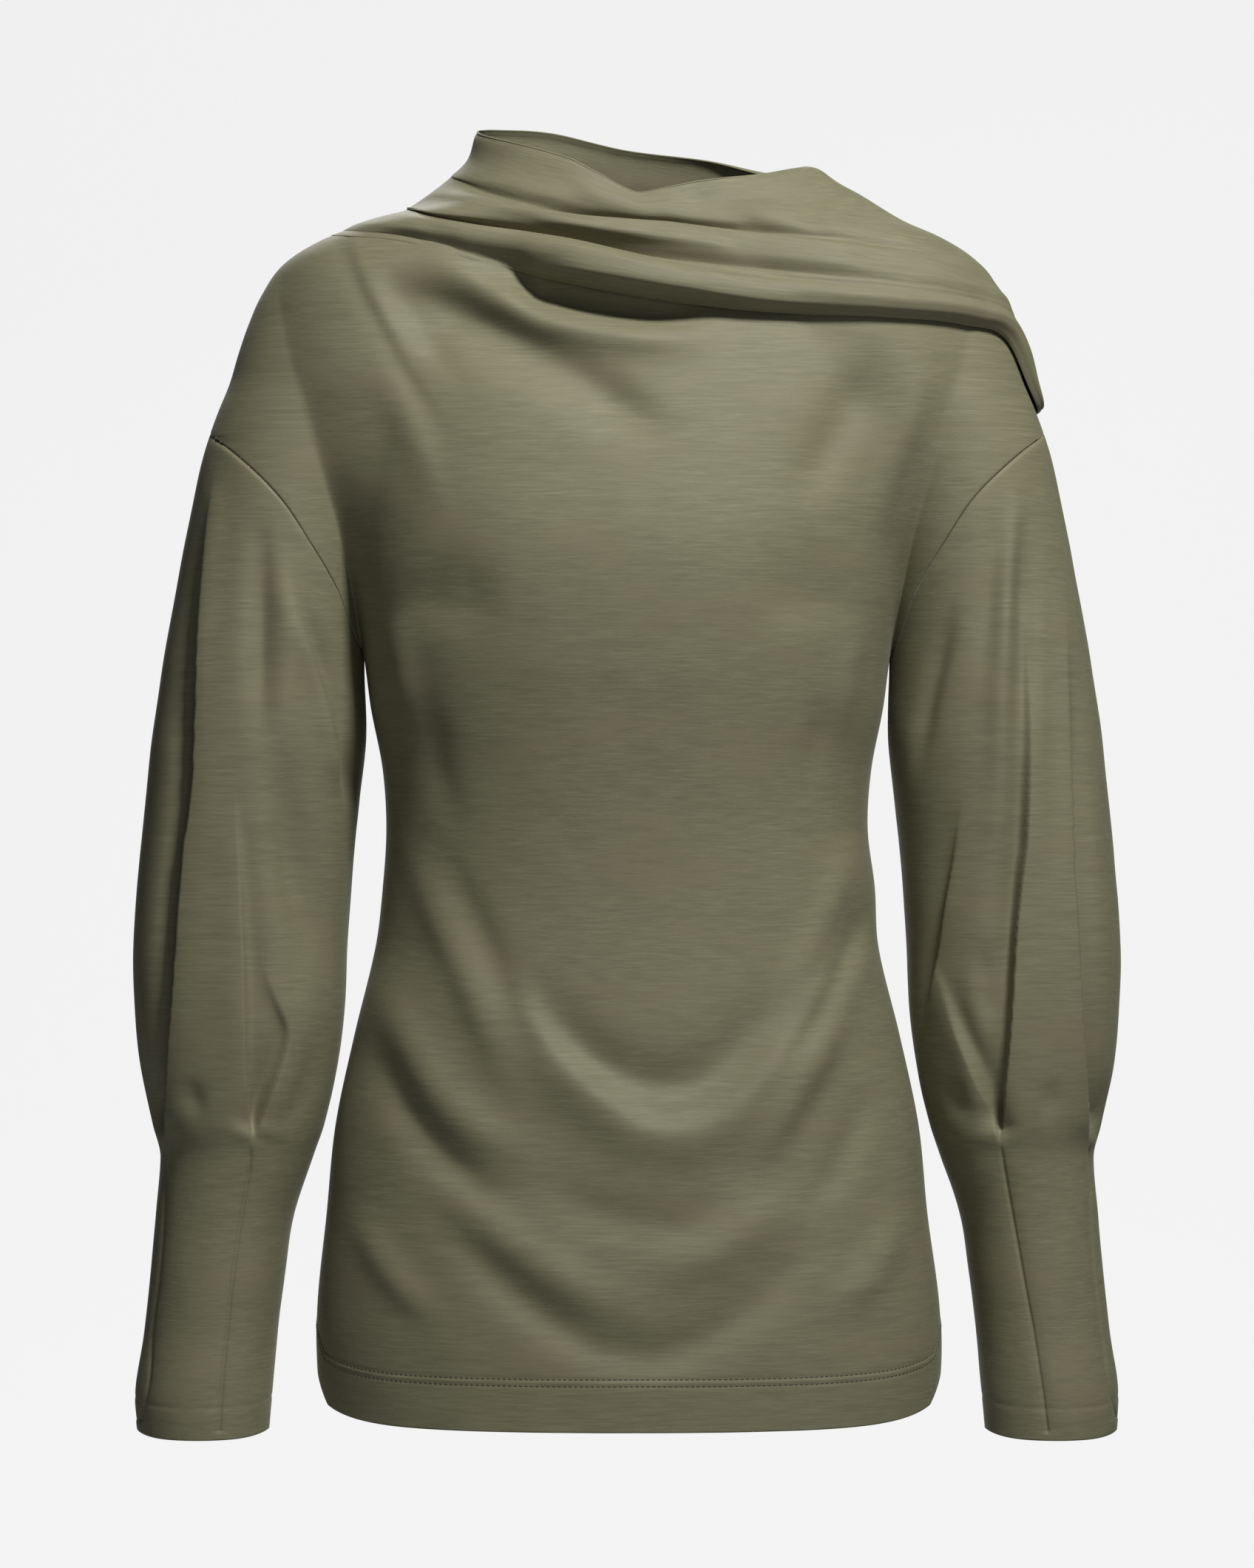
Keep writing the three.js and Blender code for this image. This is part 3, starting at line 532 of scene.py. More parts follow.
def half_width(side, z):
    """Half width of the trunk and shoulder together."""
    wide = np.where(side < 0, body("left", z), body("right", z))
    both = np.maximum(wide, arm("middle", z) + arm("half", z))
    return np.where(z <= ARMPIT, wide, both)


def panel_edge(side, z):
    """How far out the front and back end, at the side seam or the armhole."""
    turn = armhole_turn(np.clip(z, ARMPIT, SHOULDER_POINT))
    on_arm = arm("middle", z) + arm("half", z) * np.cos(np.radians(turn))
    return np.where((z <= ARMPIT) | (z >= SHOULDER_POINT), half_width(side, z), on_arm)


def panel_place(c, z, rearward):
    """A place on the outside of the front or back; c is -1 at one seam and 1 at the other."""
    side = np.where(c < 0, -1.0, 1.0)
    k = np.abs(c)
    over = k > 1
    k = np.where(over, 2 - k, k)
    edge = panel_edge(side, z)
    past_armpit = smooth((z - ARMPIT) / ARMHOLE_EASE)
    past_shoulder = smooth((z - SHOULDER_POINT + ARMHOLE_EASE) / ARMHOLE_EASE)
    turned = past_armpit * (1 - past_shoulder)
    wide = np.where(side < 0, body("left", z), body("right", z))
    crease = np.minimum(wide * FACE_OF_TRUNK, edge * FACE_OF_EDGE)
    round_face = np.sin(np.radians(np.minimum(k / FACE_SHARE, 1) * FACE_TURN))
    inner = crease * round_face / math.sin(math.radians(FACE_TURN))
    t = np.clip((k - FACE_SHARE) / (1 - FACE_SHARE), 0, 1)
    outer = crease + (edge - crease) * (np.sin(np.radians(t * 90)) * (1 - turned) + t * turned)
    x = np.where(k <= FACE_SHARE, inner, outer)
    x = np.where(over & (turned > 0.5), 2 * edge - x, x)
    back = np.where(over & (turned <= 0.5), not rearward, rearward)
    y = trunk_depth(x, z, side, back)
    return np.stack([side * x, np.where(back, y, -y), z], axis=-1)


def outward(points, flip):
    """Normals of a grid of points."""
    across = np.gradient(points, axis=1)
    down = np.gradient(points, axis=0)
    n = np.cross(down, across) * flip
    return n / np.maximum(np.linalg.norm(n, axis=-1, keepdims=True), 1e-9)


def levels(rows, fine_rows, share):
    """Shares of the way down, closer together at the turned up edge, with one beyond each end."""
    coarse = np.linspace(0, 1 - share, rows + 1)
    fine = np.linspace(1 - share, 1, fine_rows + 1)[1:]
    return np.concatenate([[-coarse[1]], coarse, fine, [2 * fine[-1] - fine[-2]]])


def hem_height(c):
    """Height of the curved hem, across a panel from one side seam to the other."""
    s = np.sin(np.radians(np.minimum(np.abs(c), 1) * 90))
    return HEM_SIDE - HEM_DROP * (1 - s**HEM_CORNER)


def edge_roll(distance, width=1.5, depth=0.4):
    """The small dip of the cloth where it runs into a seam."""
    return -depth * np.exp(-((distance / width) ** 2))


def turned_thickness(above_edge, turn):
    """The cloth's thickness, doubled where its edge is turned up."""
    return CLOTH + TURNED_CLOTH * smooth((turn - above_edge) / TURNED_STEP)


def hem_line_dips(above_edge, turn):
    """The two needle rows that hold a turned up edge, pressed into the cloth."""
    dips = 0
    for row in (turn, turn - TWIN_ROWS):
        dips = dips - NEEDLE_DIP * np.exp(-(((above_edge - row) / NEEDLE_WIDTH) ** 2))
    puff = 0.15 * np.exp(-(((above_edge - turn + TWIN_ROWS / 2) / 1.1) ** 2))
    band = 0.25 * smooth((turn - above_edge) / 3.0)
    return dips + puff + band


def soft_unevenness(x, z, piece):
    """Slight waviness that any soft cloth has."""
    seed, size, rise = WAVES[piece]
    rng = np.random.default_rng(seed)
    waves = 14
    total = 0
    for k in range(waves):
        angle = rng.uniform(-0.5, 0.5) + (math.pi / 2 if k % 2 else 0)
        length = rng.uniform(0.6, 1.6) * size
        phase = rng.uniform(0, 6.28)
        a = x * math.cos(angle) + z * math.sin(angle)
        b = -x * math.sin(angle) + z * math.cos(angle)
        total = total + np.sin(6.283 * a / length + phase + 0.8 * np.sin(6.283 * b / (1.9 * length)))
    return rise * (total / waves)


def cloth_mesh(name, outer, normals, thick, ring, flip, uv):
    """A shell of cloth: the outside grid, an inside grid behind it, and the edges between."""
    rows, cols = outer.shape[:2]
    inner = outer - normals * thick[..., None]
    points = np.concatenate([outer.reshape(-1, 3), inner.reshape(-1, 3)]) / 1000
    index = np.arange(rows * cols).reshape(rows, cols)
    if ring:
        index = np.concatenate([index, index[:, :1]], axis=1)
    a, b = index[:-1, :-1], index[:-1, 1:]
    c, d = index[1:, 1:], index[1:, :-1]
    half = rows * cols
    faces = [np.stack([a, d, c, b], -1).reshape(-1, 4)]
    faces.append(np.stack([a, b, c, d], -1).reshape(-1, 4) + half)
    top, foot = index[0], index[-1]
    faces.append(np.stack([top[:-1], top[1:], top[1:] + half, top[:-1] + half], -1))
    faces.append(np.stack([foot[1:], foot[:-1], foot[:-1] + half, foot[1:] + half], -1))
    if not ring:
        left, right = index[:, 0], index[:, -1]
        faces.append(np.stack([left[1:], left[:-1], left[:-1] + half, left[1:] + half], -1))
        faces.append(np.stack([right[:-1], right[1:], right[1:] + half, right[:-1] + half], -1))
    faces = np.concatenate(faces)
    if flip < 0:
        faces = faces[:, ::-1]
    mesh = bpy.data.meshes.new(name)
    mesh.vertices.add(len(points))
    mesh.vertices.foreach_set("co", points.astype(np.float32).ravel())
    mesh.loops.add(faces.size)
    mesh.loops.foreach_set("vertex_index", faces.astype(np.int32).ravel())
    mesh.polygons.add(len(faces))
    mesh.polygons.foreach_set("loop_start", np.arange(0, faces.size, 4, dtype=np.int32))
    mesh.polygons.foreach_set("loop_total", np.full(len(faces), 4, np.int32))
    mesh.update(calc_edges=True)
    mesh.polygons.foreach_set("use_smooth", np.ones(len(faces), bool))
    grain = mesh.uv_layers.new(name="grain")
    uv = np.concatenate([uv.reshape(-1, 2), uv.reshape(-1, 2)])
    grain.data.foreach_set("uv", uv[faces.ravel()].astype(np.float32).ravel())
    mesh.validate()
    piece = bpy.data.objects.new(name, mesh)
    bpy.context.scene.collection.objects.link(piece)
    return piece


def cloth_grain(points):
    """Distances along the cloth in metres, across and down, for the slubs and the knit."""
    across = np.linalg.norm(np.diff(points, axis=1), axis=-1).mean(0)
    u = np.concatenate([[0], np.cumsum(across)]) / 1000
    down = np.linalg.norm(np.diff(points, axis=0), axis=-1).mean(1)
    v = -np.concatenate([[0], np.cumsum(down)]) / 1000
    return np.stack(np.meshgrid(u, v), axis=-1)


def level_grain(points):
    """The same, with the slubs level across the piece."""
    grain = cloth_grain(points)
    grain[..., 1] = points[..., 2] / 1000
    return grain


def cloth_area(points):
    a = np.cross(points[1:, :-1] - points[:-1, :-1], points[:-1, 1:] - points[:-1, :-1])
    b = np.cross(points[:-1, 1:] - points[1:, 1:], points[1:, :-1] - points[1:, 1:])
    return (np.linalg.norm(a, axis=-1).sum() + np.linalg.norm(b, axis=-1).sum()) / 2e6


def body_panel(name, rearward, columns, upper_rows, lower_rows, fine_rows):
    flip = 1 if not rearward else -1
    step = 2 / columns
    c = np.linspace(-1 - step, 1 + step, columns + 3)
    upper = np.linspace(NECKLINE, ARMPIT, upper_rows)
    t = levels(lower_rows, fine_rows, HEM_SHARE)[2:]
    z = np.concatenate([
        np.repeat(np.concatenate([[2 * upper[0] - upper[1]], upper])[:, None], len(c), 1),
        ARMPIT + (hem_height(c)[None, :] - ARMPIT) * t[:, None],
    ])
    c = np.repeat(c[None, :], len(z), 0)
    points = panel_place(c, z, rearward)
    normals = outward(points, flip)
    if rearward:
        x, drawn = points[..., 0], points[..., 2]
        lift = crease_height(BACK_CREASES, x, drawn)
    else:
        x, drawn = as_seen(points)
        lift = crease_height(FRONT_CREASES, x, drawn) + pleat_height(FRONT_PLEATS, x, drawn)
    depth = np.abs(points[..., 1])
    lift = lift * off_the_side(depth)
    under_cowl = smooth((points[..., 2] - COWL_FOOT) / COWL_FOOT_EASE)
    waves = soft_unevenness(x, drawn, "back" if rearward else "front")
    lift += waves * off_the_side(depth, calm=6.0, ease=30.0) * (1 - under_cowl)
    edge_gap = (1 - np.abs(c)) * PANEL_HALF
    lift += edge_roll(np.maximum(edge_gap, 0))
    straight = np.array([0.0, 1.0 if rearward else -1.0, 0.0])
    normals = normals * (1 - under_cowl[..., None]) + straight * under_cowl[..., None]
    lift += hem_line_dips(points[..., 2] - hem_height(c), HEM_TURN)
    points = points + normals * lift[..., None]
    points[..., 1] += SEAM / 2 if rearward else -SEAM / 2
    normals = outward(points, flip)[1:-1, 1:-1]
    points = points[1:-1, 1:-1]
    thick = turned_thickness(points[..., 2] - hem_height(c[1:-1, 1:-1]), HEM_TURN)
    piece = cloth_mesh(name, points, normals, thick, False, flip, level_grain(points))
    return piece, cloth_area(points), points, normals


def sleeve_place(side, turn, z):
    """A place on the outside of a sleeve."""
    a = np.radians(turn)
    x = arm("middle", z) + arm("half", z) * np.cos(a)
    y = -arm("depth", z) * np.sin(a)
    return np.stack([side * x, y, z], axis=-1)


def sleeve(name, side, columns, rows, fine_rows):
    flip = 1 if side < 0 else -1
    hand = "left" if side < 0 else "right"
    even = np.arange(-1, columns + 1) * 360 / columns
    turn = even + FRONT_CROWDING * np.cos(np.radians(even))
    shoulder_tuck = SHOULDER_TUCK * smooth((np.cos(np.radians(turn)) - TUCK_FROM) / TUCK_OVER)
    top = armhole_height(turn) - 0.6 * SEAM + shoulder_tuck
    t = levels(rows, fine_rows, CUFF_SHARE)
    cuff = CUFF - CUFF_DIP * smooth(np.sin(np.radians(turn)))
    z = top[None, :] + (cuff - top)[None, :] * t[:, None]
    turn = np.repeat(turn[None, :], len(z), 0)
    points = sleeve_place(side, turn, z)
    normals = outward(points, flip)
    front = points[..., 1] < 0
    x, drawn = as_seen(points)
    x = np.abs(x)
    fade = off_the_side(np.abs(points[..., 1]), calm=3.0, ease=16.0)
    lift = np.where(front, crease_height(SLEEVE_CREASES[hand], x, drawn), 0)
    lift += np.where(front, 0, crease_height(SLEEVE_BACK_CREASES, np.abs(points[..., 0]), z))
    below = top[None, :] - z
    lift += np.where(front, pleat_height(SLEEVE_PLEATS[hand], x, drawn), 0)
    lift *= fade * smooth(below / 34)
    for dart in DARTS[hand]:
        seam_dip = crease_height([(dart, *DART_SEAM)], x, drawn)
        soft_dip = crease_height([(dart, *DART_HOLLOW)], x, drawn)
        lift += np.where(front, seam_dip + soft_dip, 0)
    lift += soft_unevenness(x * np.where(front, 1, -1), z, hand)
    lift += edge_roll(np.maximum(below, 0))
    above = z - cuff[None, :]
    cuff_line = -0.2 * np.exp(-(((above - CUFF_TURN) / 1.2) ** 2))
    lift += cuff_line + 0.1 * smooth((CUFF_TURN - above) / 2.5)
    points = points + normals * lift[..., None]
    normals = outward(points, flip)[1:-1, 1:-1]
    points = points[1:-1, 1:-1]
    thick = turned_thickness(above[1:-1, 1:-1], CUFF_TURN)
    ring = np.concatenate([points, points[:, :1]], axis=1)
    piece = cloth_mesh(name, points, normals, thick, True, flip, level_grain(points))
    return piece, cloth_area(ring)


def cowl_section(name, at):
    """One of the cowl's heights or shares at places round the body."""
    return curve(COWL_COLUMNS["at"], COWL_COLUMNS[name], at)


def cowl_places(at, rows):
    """The outside of the cowl: one column for each place round the body, rows down it."""
    heights = ("neck", "pleat", "second", "bottom")
    shares = ("pleat_share", "second_share", "flap_share", "snug", "lip")
    neck, pleat, second, bottom = (cowl_section(k, at) for k in heights)
    a, b, c, snug, lip = (np.clip(cowl_section(k, at), 0, 1) for k in shares)

    def mix(p, q, t):
        return p + (q - p) * t

    ease = COWL_EASE - SNUG_COWL * snug
    neck_ease = NECK_EASE - SNUG_NECK * snug

    def base(v):
        return ease + FLAP_RISE * c * smooth(v)

    r1, r2, r3 = base(0.3), base(0.65), base(1.0)
    flush = mix(0.45, ease, np.clip(c * 2.5, 0, 1))
    drop = second - bottom
    step = np.minimum(mix(SOFT_STEP, PLEAT_STEP, a), STEP_SHARE * (neck - pleat))
    second_step = np.minimum(mix(SOFT_STEP, PLEAT_STEP, b), STEP_SHARE * (pleat - second))
    shade = mix(0.76, 0.58, smooth((at + 50) / 50))
    # Height and distance off the body, row by row from the neck edge down to the foot.
    section = [
        (neck - 0.3 - 1.2 * lip, neck_ease + 0.5 - 5.0 * lip),
        (neck - 0.1 - 0.3 * lip, neck_ease + 0.6 - 3.5 * lip),
        (neck, neck_ease + 0.9 - 0.9 * lip),
        (mix(neck, pleat, 0.05), neck_ease + 1.5 + 3.1 * lip),
        (mix(neck, pleat, 0.16), neck_ease + 2.2 + 2.8 * lip),
        (mix(neck, pleat, 0.46), mix(neck_ease, r1, 0.6) + 2.2 * a + 1.5 * lip),
        (mix(neck, pleat, 0.74), mix(r1, ease + 2.6, a)),
        (pleat + step, mix(r1, 1.4 + 0.8 * snug, a)),
        (pleat + 0.5 * step, r1 + PLEAT_RISE * 0.35 * a),
        (pleat, r1 + PLEAT_RISE * 0.95 * a),
        (mix(pleat, second, 0.16), r1 + PLEAT_RISE * 1.12 * a),
        (mix(pleat, second, 0.4), mix(r1, r2, 0.4) + PLEAT_RISE * 0.9 * a),
        (mix(pleat, second, shade), mix(r2 + PLEAT_RISE * 0.5 * a, ease + 3.2, b)),
        (second + second_step, mix(r2, 1.4 + 0.8 * snug, b)),
        (second + 0.5 * second_step, r2 + SECOND_RISE * 0.35 * b),
        (second, r2 + SECOND_RISE * 0.95 * b),
        (second - 0.25 * drop, base(0.85) + SECOND_RISE * 1.05 * b + 1.0 * c),
        (second - 0.55 * drop, r3 + SECOND_RISE * 0.7 * b + 2.6 * c),
        (bottom + mix(0.2 * drop, 2.6, c), mix(mix(r3, flush, 0.6), r3 + 3.2, c) + 2.2 * b * c),
        (bottom + mix(1.3, 0.9, c), mix(flush, r3 + 2.6, c)),
        (bottom, mix(flush * 0.9, r3 * 0.85, c)),
        (bottom - 0.9, mix(flush * 0.8, r3 * 0.5, c)),
        (bottom - 1.2, mix(flush * 0.6, r3 * 0.18, c)),
    ]
    table = np.array(section)
    steps = len(table) - 1
    f = np.clip(np.linspace(0, steps, rows), 0, steps - 1e-9)
    i = f.astype(int)
    t = (f - i)[:, None, None]
    before = np.concatenate([2 * table[:1] - table[1:2], table, 2 * table[-1:] - table[-2:-1]])
    p0, p1, p2, p3 = (before[i + k] for k in range(4))
    fine = 0.5 * (
        2 * p1
        + (p2 - p0) * t
        + (2 * p0 - 5 * p1 + 4 * p2 - p3) * t**2
        + (3 * p1 - p0 - 3 * p2 + p3) * t**3
    )
    height, out = fine[:, 0], fine[:, 1]
    out = np.where(height > NECK_FREE, out, np.maximum(out, LEAST_EASE))
    at = np.radians(np.repeat(at[None, :], rows, 0))
    s, k = np.sin(at), np.cos(at)
    side = np.where(s < 0, -1.0, 1.0)
    x = half_width(side, height) * s
    rearward = k < 0
    y = trunk_depth(np.abs(x), height, side, rearward)
    points = np.stack([x, np.where(rearward, y, -y), height], axis=-1)
    seen_x, seen_z = as_seen(points)
    front_lift = crease_height(FRONT_CREASES, seen_x, seen_z)
    front_lift = front_lift + pleat_height(FRONT_PLEATS, seen_x, seen_z)
    under = np.where(rearward, crease_height(BACK_CREASES, x, height), front_lift)
    y = y + under * off_the_side(y)
    points[..., 1] = np.where(rearward, y, -y)
    push = np.stack([s, -k, 0.35 + 0 * s], axis=-1)
    points = points + push * out[..., None]
    seen_x, seen_z = as_seen(points)
    swell = np.where(rearward, 0, crease_height(COWL_CREASES, seen_x, seen_z))
    return points + push * (swell * off_the_side(y))[..., None]


def cowl(name, columns, rows):
    at = np.arange(-1, columns + 1) * 360 / columns - 90
    at = np.where(at < -90, at + 360, at)
    at = np.where(at >= 270, at - 360, at)
    points = cowl_places(at, rows)
    points = np.concatenate([2 * points[:1] - points[1:2], points, 2 * points[-1:] - points[-2:-1]])
    normals = outward(points, 1)[1:-1, 1:-1]
    points = points[1:-1, 1:-1]
    ring = np.concatenate([points, points[:, :1]], axis=1)
    flap = np.clip(cowl_section("flap_share", at[1:-1]) * 2.5, 0, 1)
    foot = smooth((np.linspace(0, 1, rows) - 0.8) / 0.2)[:, None]
    thick = CLOTH - (CLOTH - FOOT_CLOTH) * foot * (1 - flap)[None, :]
    piece = cloth_mesh(name, points, normals, thick, True, 1, cloth_grain(points))
    return piece, cloth_area(ring)


def node(tree, kind, **values):
    made = tree.nodes.new(kind)
    for key, value in values.items():
        setattr(made, key, value)
    return made


def jersey_cloth():
    """Fine olive jersey: crosswise slubs, a close knit grain, soft sheen."""
    material = bpy.data.materials.new("jersey")
    material.use_nodes = True
    tree = material.node_tree
    link = tree.links.new
    shader = tree.nodes["Principled BSDF"]
    uv = node(tree, "ShaderNodeUVMap", uv_map="grain")

    def grain(across, down, detail):
        """Noise with this many waves to a metre across the cloth and down it."""
        place = node(tree, "ShaderNodeMapping")
        place.inputs["Scale"].default_value = (across, down, 1)
        link(uv.outputs["UV"], place.inputs["Vector"])
        noise = node(tree, "ShaderNodeTexNoise")
        noise.inputs["Scale"].default_value = 1.0
        noise.inputs["Detail"].default_value = detail
        noise.inputs["Roughness"].default_value = 0.6
        link(place.outputs["Vector"], noise.inputs["Vector"])
        return noise.outputs["Fac"]

    slubs = grain(46, 820, 3)
    streaks = grain(110, 1900, 2)
    mottle = grain(11, 30, 3)
    patches = grain(22, 170, 4)
    knit = node(tree, "ShaderNodeTexWave", wave_type="BANDS", bands_direction="DIAGONAL")
    knit.inputs["Scale"].default_value = 420
    knit.inputs["Distortion"].default_value = 1.2
    link(uv.outputs["UV"], knit.inputs["Vector"])

    def ramp(source, low, high):
        spread = node(tree, "ShaderNodeMapRange")
        spread.inputs["From Min"].default_value = low
        spread.inputs["From Max"].default_value = high
        link(source, spread.inputs["Value"])
        return spread.outputs["Result"]

    def tint(under, over, share):
        """One colour over another, a socket or a plain colour, by a share from the grain."""
        blend = node(tree, "ShaderNodeMix", data_type="RGBA")
        link(share, blend.inputs["Factor"])
        if isinstance(under, tuple):
            blend.inputs["A"].default_value = under
        else:
            link(under, blend.inputs["A"])
        blend.inputs["B"].default_value = over
        return blend.outputs["Result"]

    dark = (0.148, 0.143, 0.083, 1)
    light = (0.216, 0.206, 0.126, 1)
    warm = (0.19, 0.172, 0.106, 1)
    colour = tint(dark, light, ramp(slubs, 0.28, 0.72))
    colour = tint(colour, warm, ramp(mottle, 0.48, 0.72))
    colour = tint(colour, dark, ramp(patches, 0.52, 0.8))
    colour = tint(colour, dark, ramp(streaks, 0.5, 0.95))
    link(colour, shader.inputs["Base Color"])
    shader.inputs["Roughness"].default_value = 0.62
    shader.inputs["Specular IOR Level"].default_value = 0.28
    shader.inputs["Sheen Weight"].default_value = 0.12
    shader.inputs["Sheen Roughness"].default_value = 0.4
    shader.inputs["Sheen Tint"].default_value = (0.62, 0.6, 0.48, 1)
    relief = node(tree, "ShaderNodeMath", operation="MULTIPLY_ADD")
    link(knit.outputs["Fac"], relief.inputs[0])
    relief.inputs[1].default_value = 0.3
    link(streaks, relief.inputs[2])
    bump = node(tree, "ShaderNodeBump")
    bump.inputs["Strength"].default_value = 0.22
    bump.inputs["Distance"].default_value = 0.0004
    link(relief.outputs["Value"], bump.inputs["Height"])
    link(bump.outputs["Normal"], shader.inputs["Normal"])
    return material


def thread_look():
    """Sewing thread, a darker olive than the cloth."""
    material = bpy.data.materials.new("sewing_thread")
    material.use_nodes = True
    shader = material.node_tree.nodes["Principled BSDF"]
    shader.inputs["Base Color"].default_value = (0.075, 0.072, 0.045, 1)
    shader.inputs["Roughness"].default_value = 0.55
    return material


scale = 1.0


def n(count):
    return max(8, int(count * scale))


jersey = jersey_cloth()
front, front_area, front_points, front_normals = body_panel(
    "front_panel", rearward=False, columns=n(190), upper_rows=n(92), lower_rows=n(118), fine_rows=n(38)
)
back, back_area, back_points, back_normals = body_panel(
    "back_panel", rearward=True, columns=n(150), upper_rows=n(72), lower_rows=n(100), fine_rows=n(38)
)
left_sleeve, left_area = sleeve("left_sleeve", -1, columns=n(200), rows=n(214), fine_rows=n(22))
right_sleeve, right_area = sleeve("right_sleeve", 1, columns=n(200), rows=n(214), fine_rows=n(22))
draped_cowl, cowl_area = cowl("draped_cowl", columns=n(320), rows=n(150))

# Each piece of cloth with its node, its area in square metres, and the width and length in
# metres of the cloth that it is cut from.
PIECES = [
    (front, "front", front_area, 0.62, 0.69),
    (back, "back", back_area, 0.58, 0.69),
    (left_sleeve, "sleeve_left", left_area, 0.40, 0.58),
    (right_sleeve, "sleeve_right", right_area, 0.40, 0.58),
    (draped_cowl, "cowl", cowl_area, 0.95, 0.24),
]
for piece, node_name, area, wide, long in PIECES:
    piece.data.materials.append(jersey)
    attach(piece, "root")
    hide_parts(node_name)


def hem_row(points, normals, across, above):
    """The line on a panel's face at one height over its hem edge, from seam to seam."""
    heights = points[..., 2] - hem_height(across)[None, :]
    line = []
    for k in range(points.shape[1]):
        if abs(across[k]) > STITCHED_SPAN:
            continue
        down = heights[::-1, k]
        on = [np.interp(above, down, points[::-1, k, axis]) for axis in range(3)]
        out = [np.interp(above, down, normals[::-1, k, axis]) for axis in range(3)]
        line.append(np.array(on) + np.array(out) * STITCH_PROUD)
    return np.array(line)


def stitch_layout():
    """Node group that sets one thread bead on each pitch of a row and turns it along the row."""
    group = bpy.data.node_groups.new("needle_row", "GeometryNodeTree")
    group.is_modifier = True
    sockets = group.interface
    sockets.new_socket("Geometry", in_out="INPUT", socket_type="NodeSocketGeometry")
    for name, value in (("Pitch", 0.003), ("Bead Length", 0.001), ("Bead Width", 0.0003)):
        socket = sockets.new_socket(name, in_out="INPUT", socket_type="NodeSocketFloat")
        socket.default_value = value
    sockets.new_socket("Thread", in_out="INPUT", socket_type="NodeSocketMaterial")
    sockets.new_socket("Geometry", in_out="OUTPUT", socket_type="NodeSocketGeometry")
    link = group.links.new
    start = node(group, "NodeGroupInput")
    end = node(group, "NodeGroupOutput")
    line = node(group, "GeometryNodeMeshToCurve")
    even = node(group, "GeometryNodeResampleCurve", mode="LENGTH")
    bead = node(group, "GeometryNodeMeshUVSphere")
    bead.inputs["Segments"].default_value = 8
    bead.inputs["Rings"].default_value = 5
    bead.inputs["Radius"].default_value = 1.0
    shape = node(group, "ShaderNodeCombineXYZ")
    sized = node(group, "GeometryNodeTransform")
    along = node(group, "GeometryNodeInputTangent")
    turned = node(group, "FunctionNodeAlignRotationToVector", axis="X")
    beads = node(group, "GeometryNodeInstanceOnPoints")
    whole = node(group, "GeometryNodeRealizeInstances")
    painted = node(group, "GeometryNodeSetMaterial")
    link(start.outputs["Geometry"], line.inputs["Mesh"])
    link(line.outputs["Curve"], even.inputs["Curve"])
    link(start.outputs["Pitch"], even.inputs["Length"])
    link(start.outputs["Bead Length"], shape.inputs["X"])
    link(start.outputs["Bead Width"], shape.inputs["Y"])
    link(start.outputs["Bead Width"], shape.inputs["Z"])
    link(bead.outputs["Mesh"], sized.inputs["Geometry"])
    link(shape.outputs["Vector"], sized.inputs["Scale"])
    link(along.outputs["Tangent"], turned.inputs["Vector"])
    link(even.outputs["Curve"], beads.inputs["Points"])
    link(sized.outputs["Geometry"], beads.inputs["Instance"])
    link(turned.outputs["Rotation"], beads.inputs["Rotation"])
    link(beads.outputs["Instances"], whole.inputs["Geometry"])
    link(whole.outputs["Geometry"], painted.inputs["Geometry"])
    link(start.outputs["Thread"], painted.inputs["Material"])
    link(painted.outputs["Geometry"], end.inputs["Geometry"])
    return group


def sew_hem(name, lines, group, thread):
    """The needle rows of one panel as a plain mesh."""
    points = np.concatenate(lines) / 1000
    edges = []
    first = 0
    for line in lines:
        edges += [(first + k, first + k + 1) for k in range(len(line) - 1)]
        first += len(line)
    rows = bpy.data.meshes.new(name + "_rows")
    rows.from_pydata([tuple(p) for p in points], edges, [])
    guide = bpy.data.objects.new(name + "_rows", rows)
    bpy.context.scene.collection.objects.link(guide)
    layout = guide.modifiers.new("needle_row", "NODES")
    layout.node_group = group
    values = {
        "Pitch": STITCH_PITCH / 1000,
        "Bead Length": STITCH_HALF_LENGTH / 1000,
        "Bead Width": STITCH_HALF_WIDTH / 1000,
        "Thread": thread,
    }
    for socket in group.interface.items_tree:
        if socket.in_out == "INPUT" and socket.name in values:
            layout[socket.identifier] = values[socket.name]
    view = bpy.context.evaluated_depsgraph_get()
    made = bpy.data.meshes.new_from_object(guide.evaluated_get(view))
    guide.modifiers.remove(layout)
    bpy.data.objects.remove(guide)
    made.polygons.foreach_set("use_smooth", np.ones(len(made.polygons), bool))
    piece = bpy.data.objects.new(name, made)
    bpy.context.scene.collection.objects.link(piece)
    return piece


thread = thread_look()
layout = stitch_layout()
for name, points, normals in (
    ("front_hem_stitches", front_points, front_normals),
    ("back_hem_stitches", back_points, back_normals),
):
    across = np.linspace(-1, 1, points.shape[1])
    rows = [hem_row(points, normals, across, above) for above in (HEM_TURN, HEM_TURN - TWIN_ROWS)]
    stitches = sew_hem(name, rows, layout, thread)
    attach(stitches, "root")


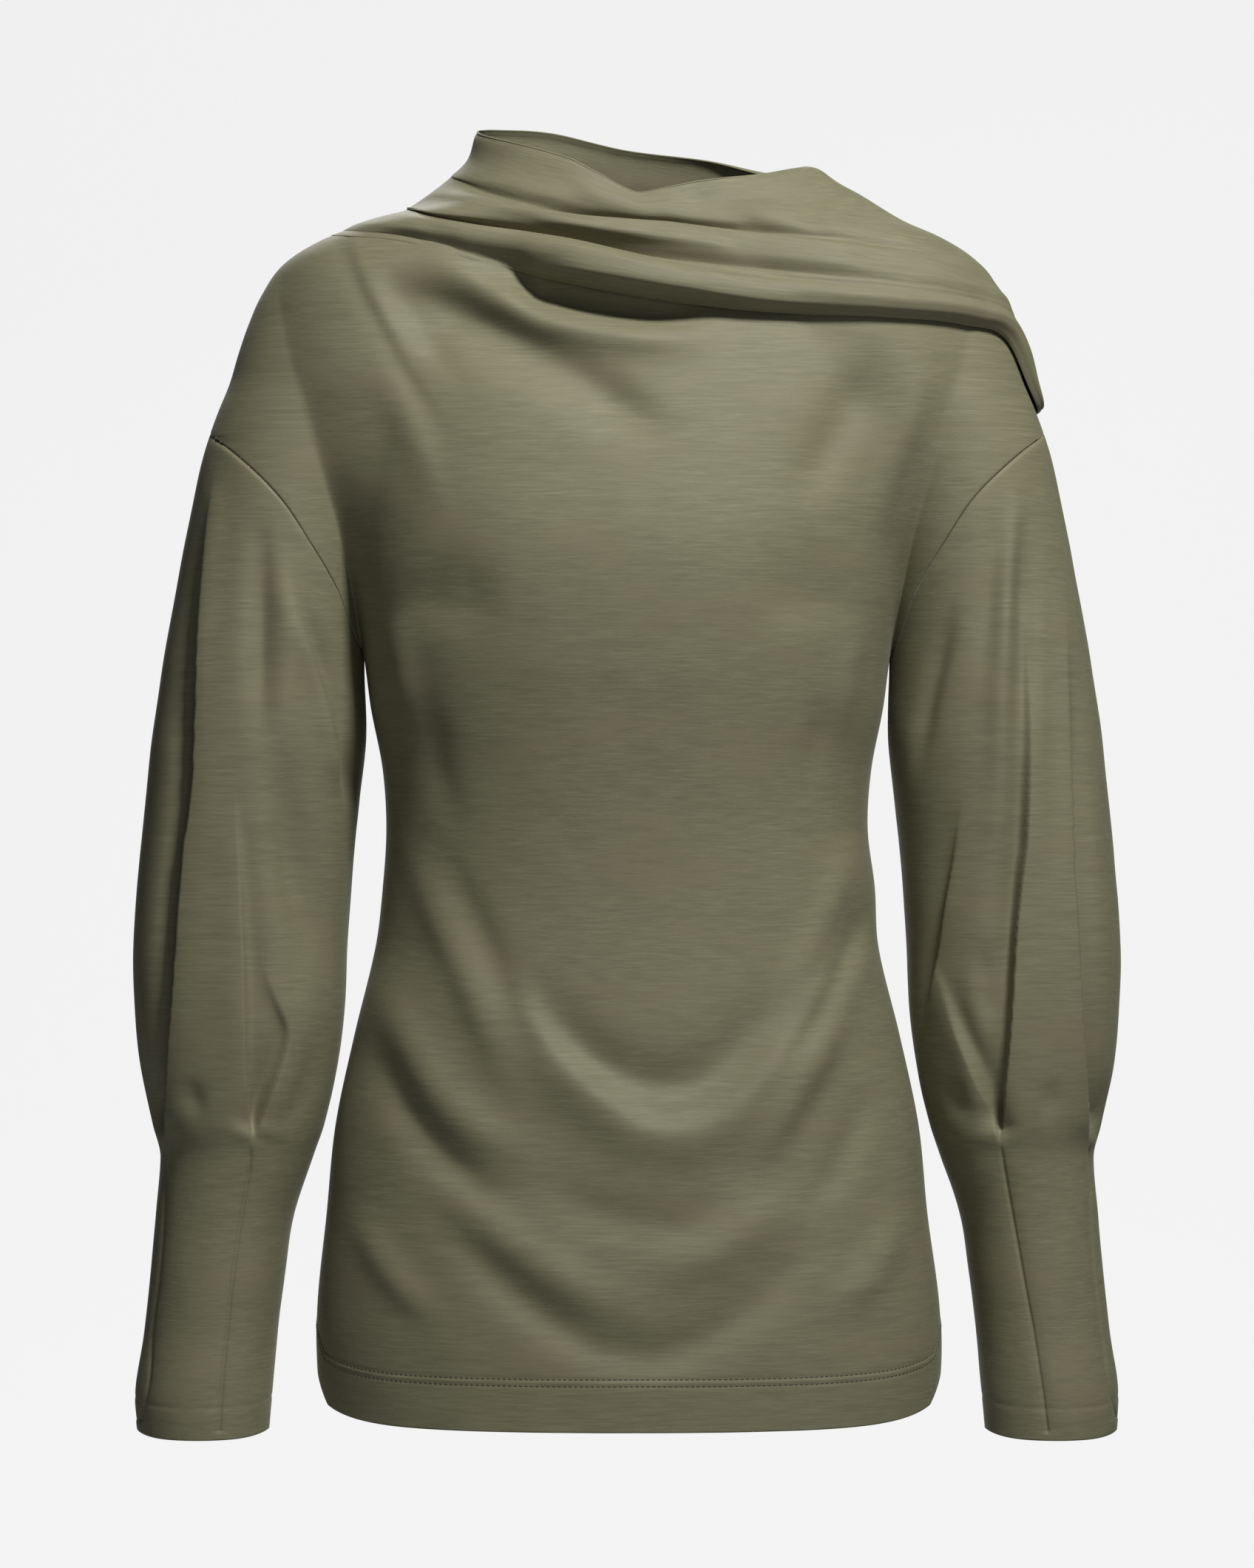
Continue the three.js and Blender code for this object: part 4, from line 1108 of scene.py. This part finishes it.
def studio():
    """A pale floor, a lit backdrop that curves up behind, and soft lights."""

    def plain(name, shade, glow):
        material = bpy.data.materials.new(name)
        material.use_nodes = True
        shader = material.node_tree.nodes["Principled BSDF"]
        shader.inputs["Base Color"].default_value = (shade, shade, shade, 1)
        shader.inputs["Roughness"].default_value = 1
        shader.inputs["Specular IOR Level"].default_value = 0
        shader.inputs["Emission Color"].default_value = (1, 1, 1, 1)
        shader.inputs["Emission Strength"].default_value = glow
        return material

    def sheet(name, line, half, material):
        points = [(x, y, z) for y, z in line for x in (-half, half)]
        faces = [(2 * i, 2 * i + 1, 2 * i + 3, 2 * i + 2) for i in range(len(line) - 1)]
        mesh = bpy.data.meshes.new(name)
        mesh.from_pydata(points, [], faces)
        mesh.polygons.foreach_set("use_smooth", [True] * len(faces))
        mesh.materials.append(material)
        made = bpy.data.objects.new(name, mesh)
        bpy.context.scene.collection.objects.link(made)

    floor_z, back_y, bend = -1.45, 3.2, 0.5
    curve_up = [
        (back_y - bend + bend * math.sin(a), floor_z + bend - bend * math.cos(a))
        for a in np.linspace(0, math.pi / 2, 17)
    ]
    sheet("floor", [(-3.0, floor_z), curve_up[0]], 2.6, plain("pale_floor", 0.5, 0.0))
    sheet("backdrop", curve_up + [(back_y, 1.3)], 1.5, plain("pale_backdrop", 0.2, 0.8))

    def lamp(name, place, aim, size, power):
        data = bpy.data.lights.new(name, "AREA")
        data.shape = "RECTANGLE"
        data.size, data.size_y = size
        data.energy = power
        light = bpy.data.objects.new(name, data)
        light.location = place
        direction = np.array(aim) - np.array(place)
        light.rotation_euler = Vector(direction).to_track_quat("-Z", "Y").to_euler()
        bpy.context.scene.collection.objects.link(light)

    lamp("key", (0.7, -1.45, 1.7), (0.02, 0, -0.14), (0.4, 0.4), 77)
    lamp("fill", (0.3, -3.2, 0.1), (0, 0, -0.4), (1.0, 1.0), 6)
    lamp("back", (-0.5, 2.2, 1.5), (0, 0, -0.3), (0.9, 0.9), 26)
    world = bpy.data.worlds.new("studio")
    world.use_nodes = True
    world.node_tree.nodes["Background"].inputs["Color"].default_value = (1, 1, 1, 1)
    world.node_tree.nodes["Background"].inputs["Strength"].default_value = 0.055
    bpy.context.scene.world = world
    camera = bpy.data.cameras.new("camera")
    camera.sensor_width = SENSOR
    camera.lens = SENSOR / 2 / (SEEN_HALF_HEIGHT / -EYE[1])
    camera.clip_end = 30
    eye = bpy.data.objects.new("camera", camera)
    eye.location = (0, EYE[1] / 1000, EYE[2] / 1000)
    eye.rotation_euler = (math.radians(90), 0, 0)
    bpy.context.scene.collection.objects.link(eye)
    bpy.context.scene.camera = eye
    bpy.context.scene.view_settings.view_transform = "Standard"


studio()
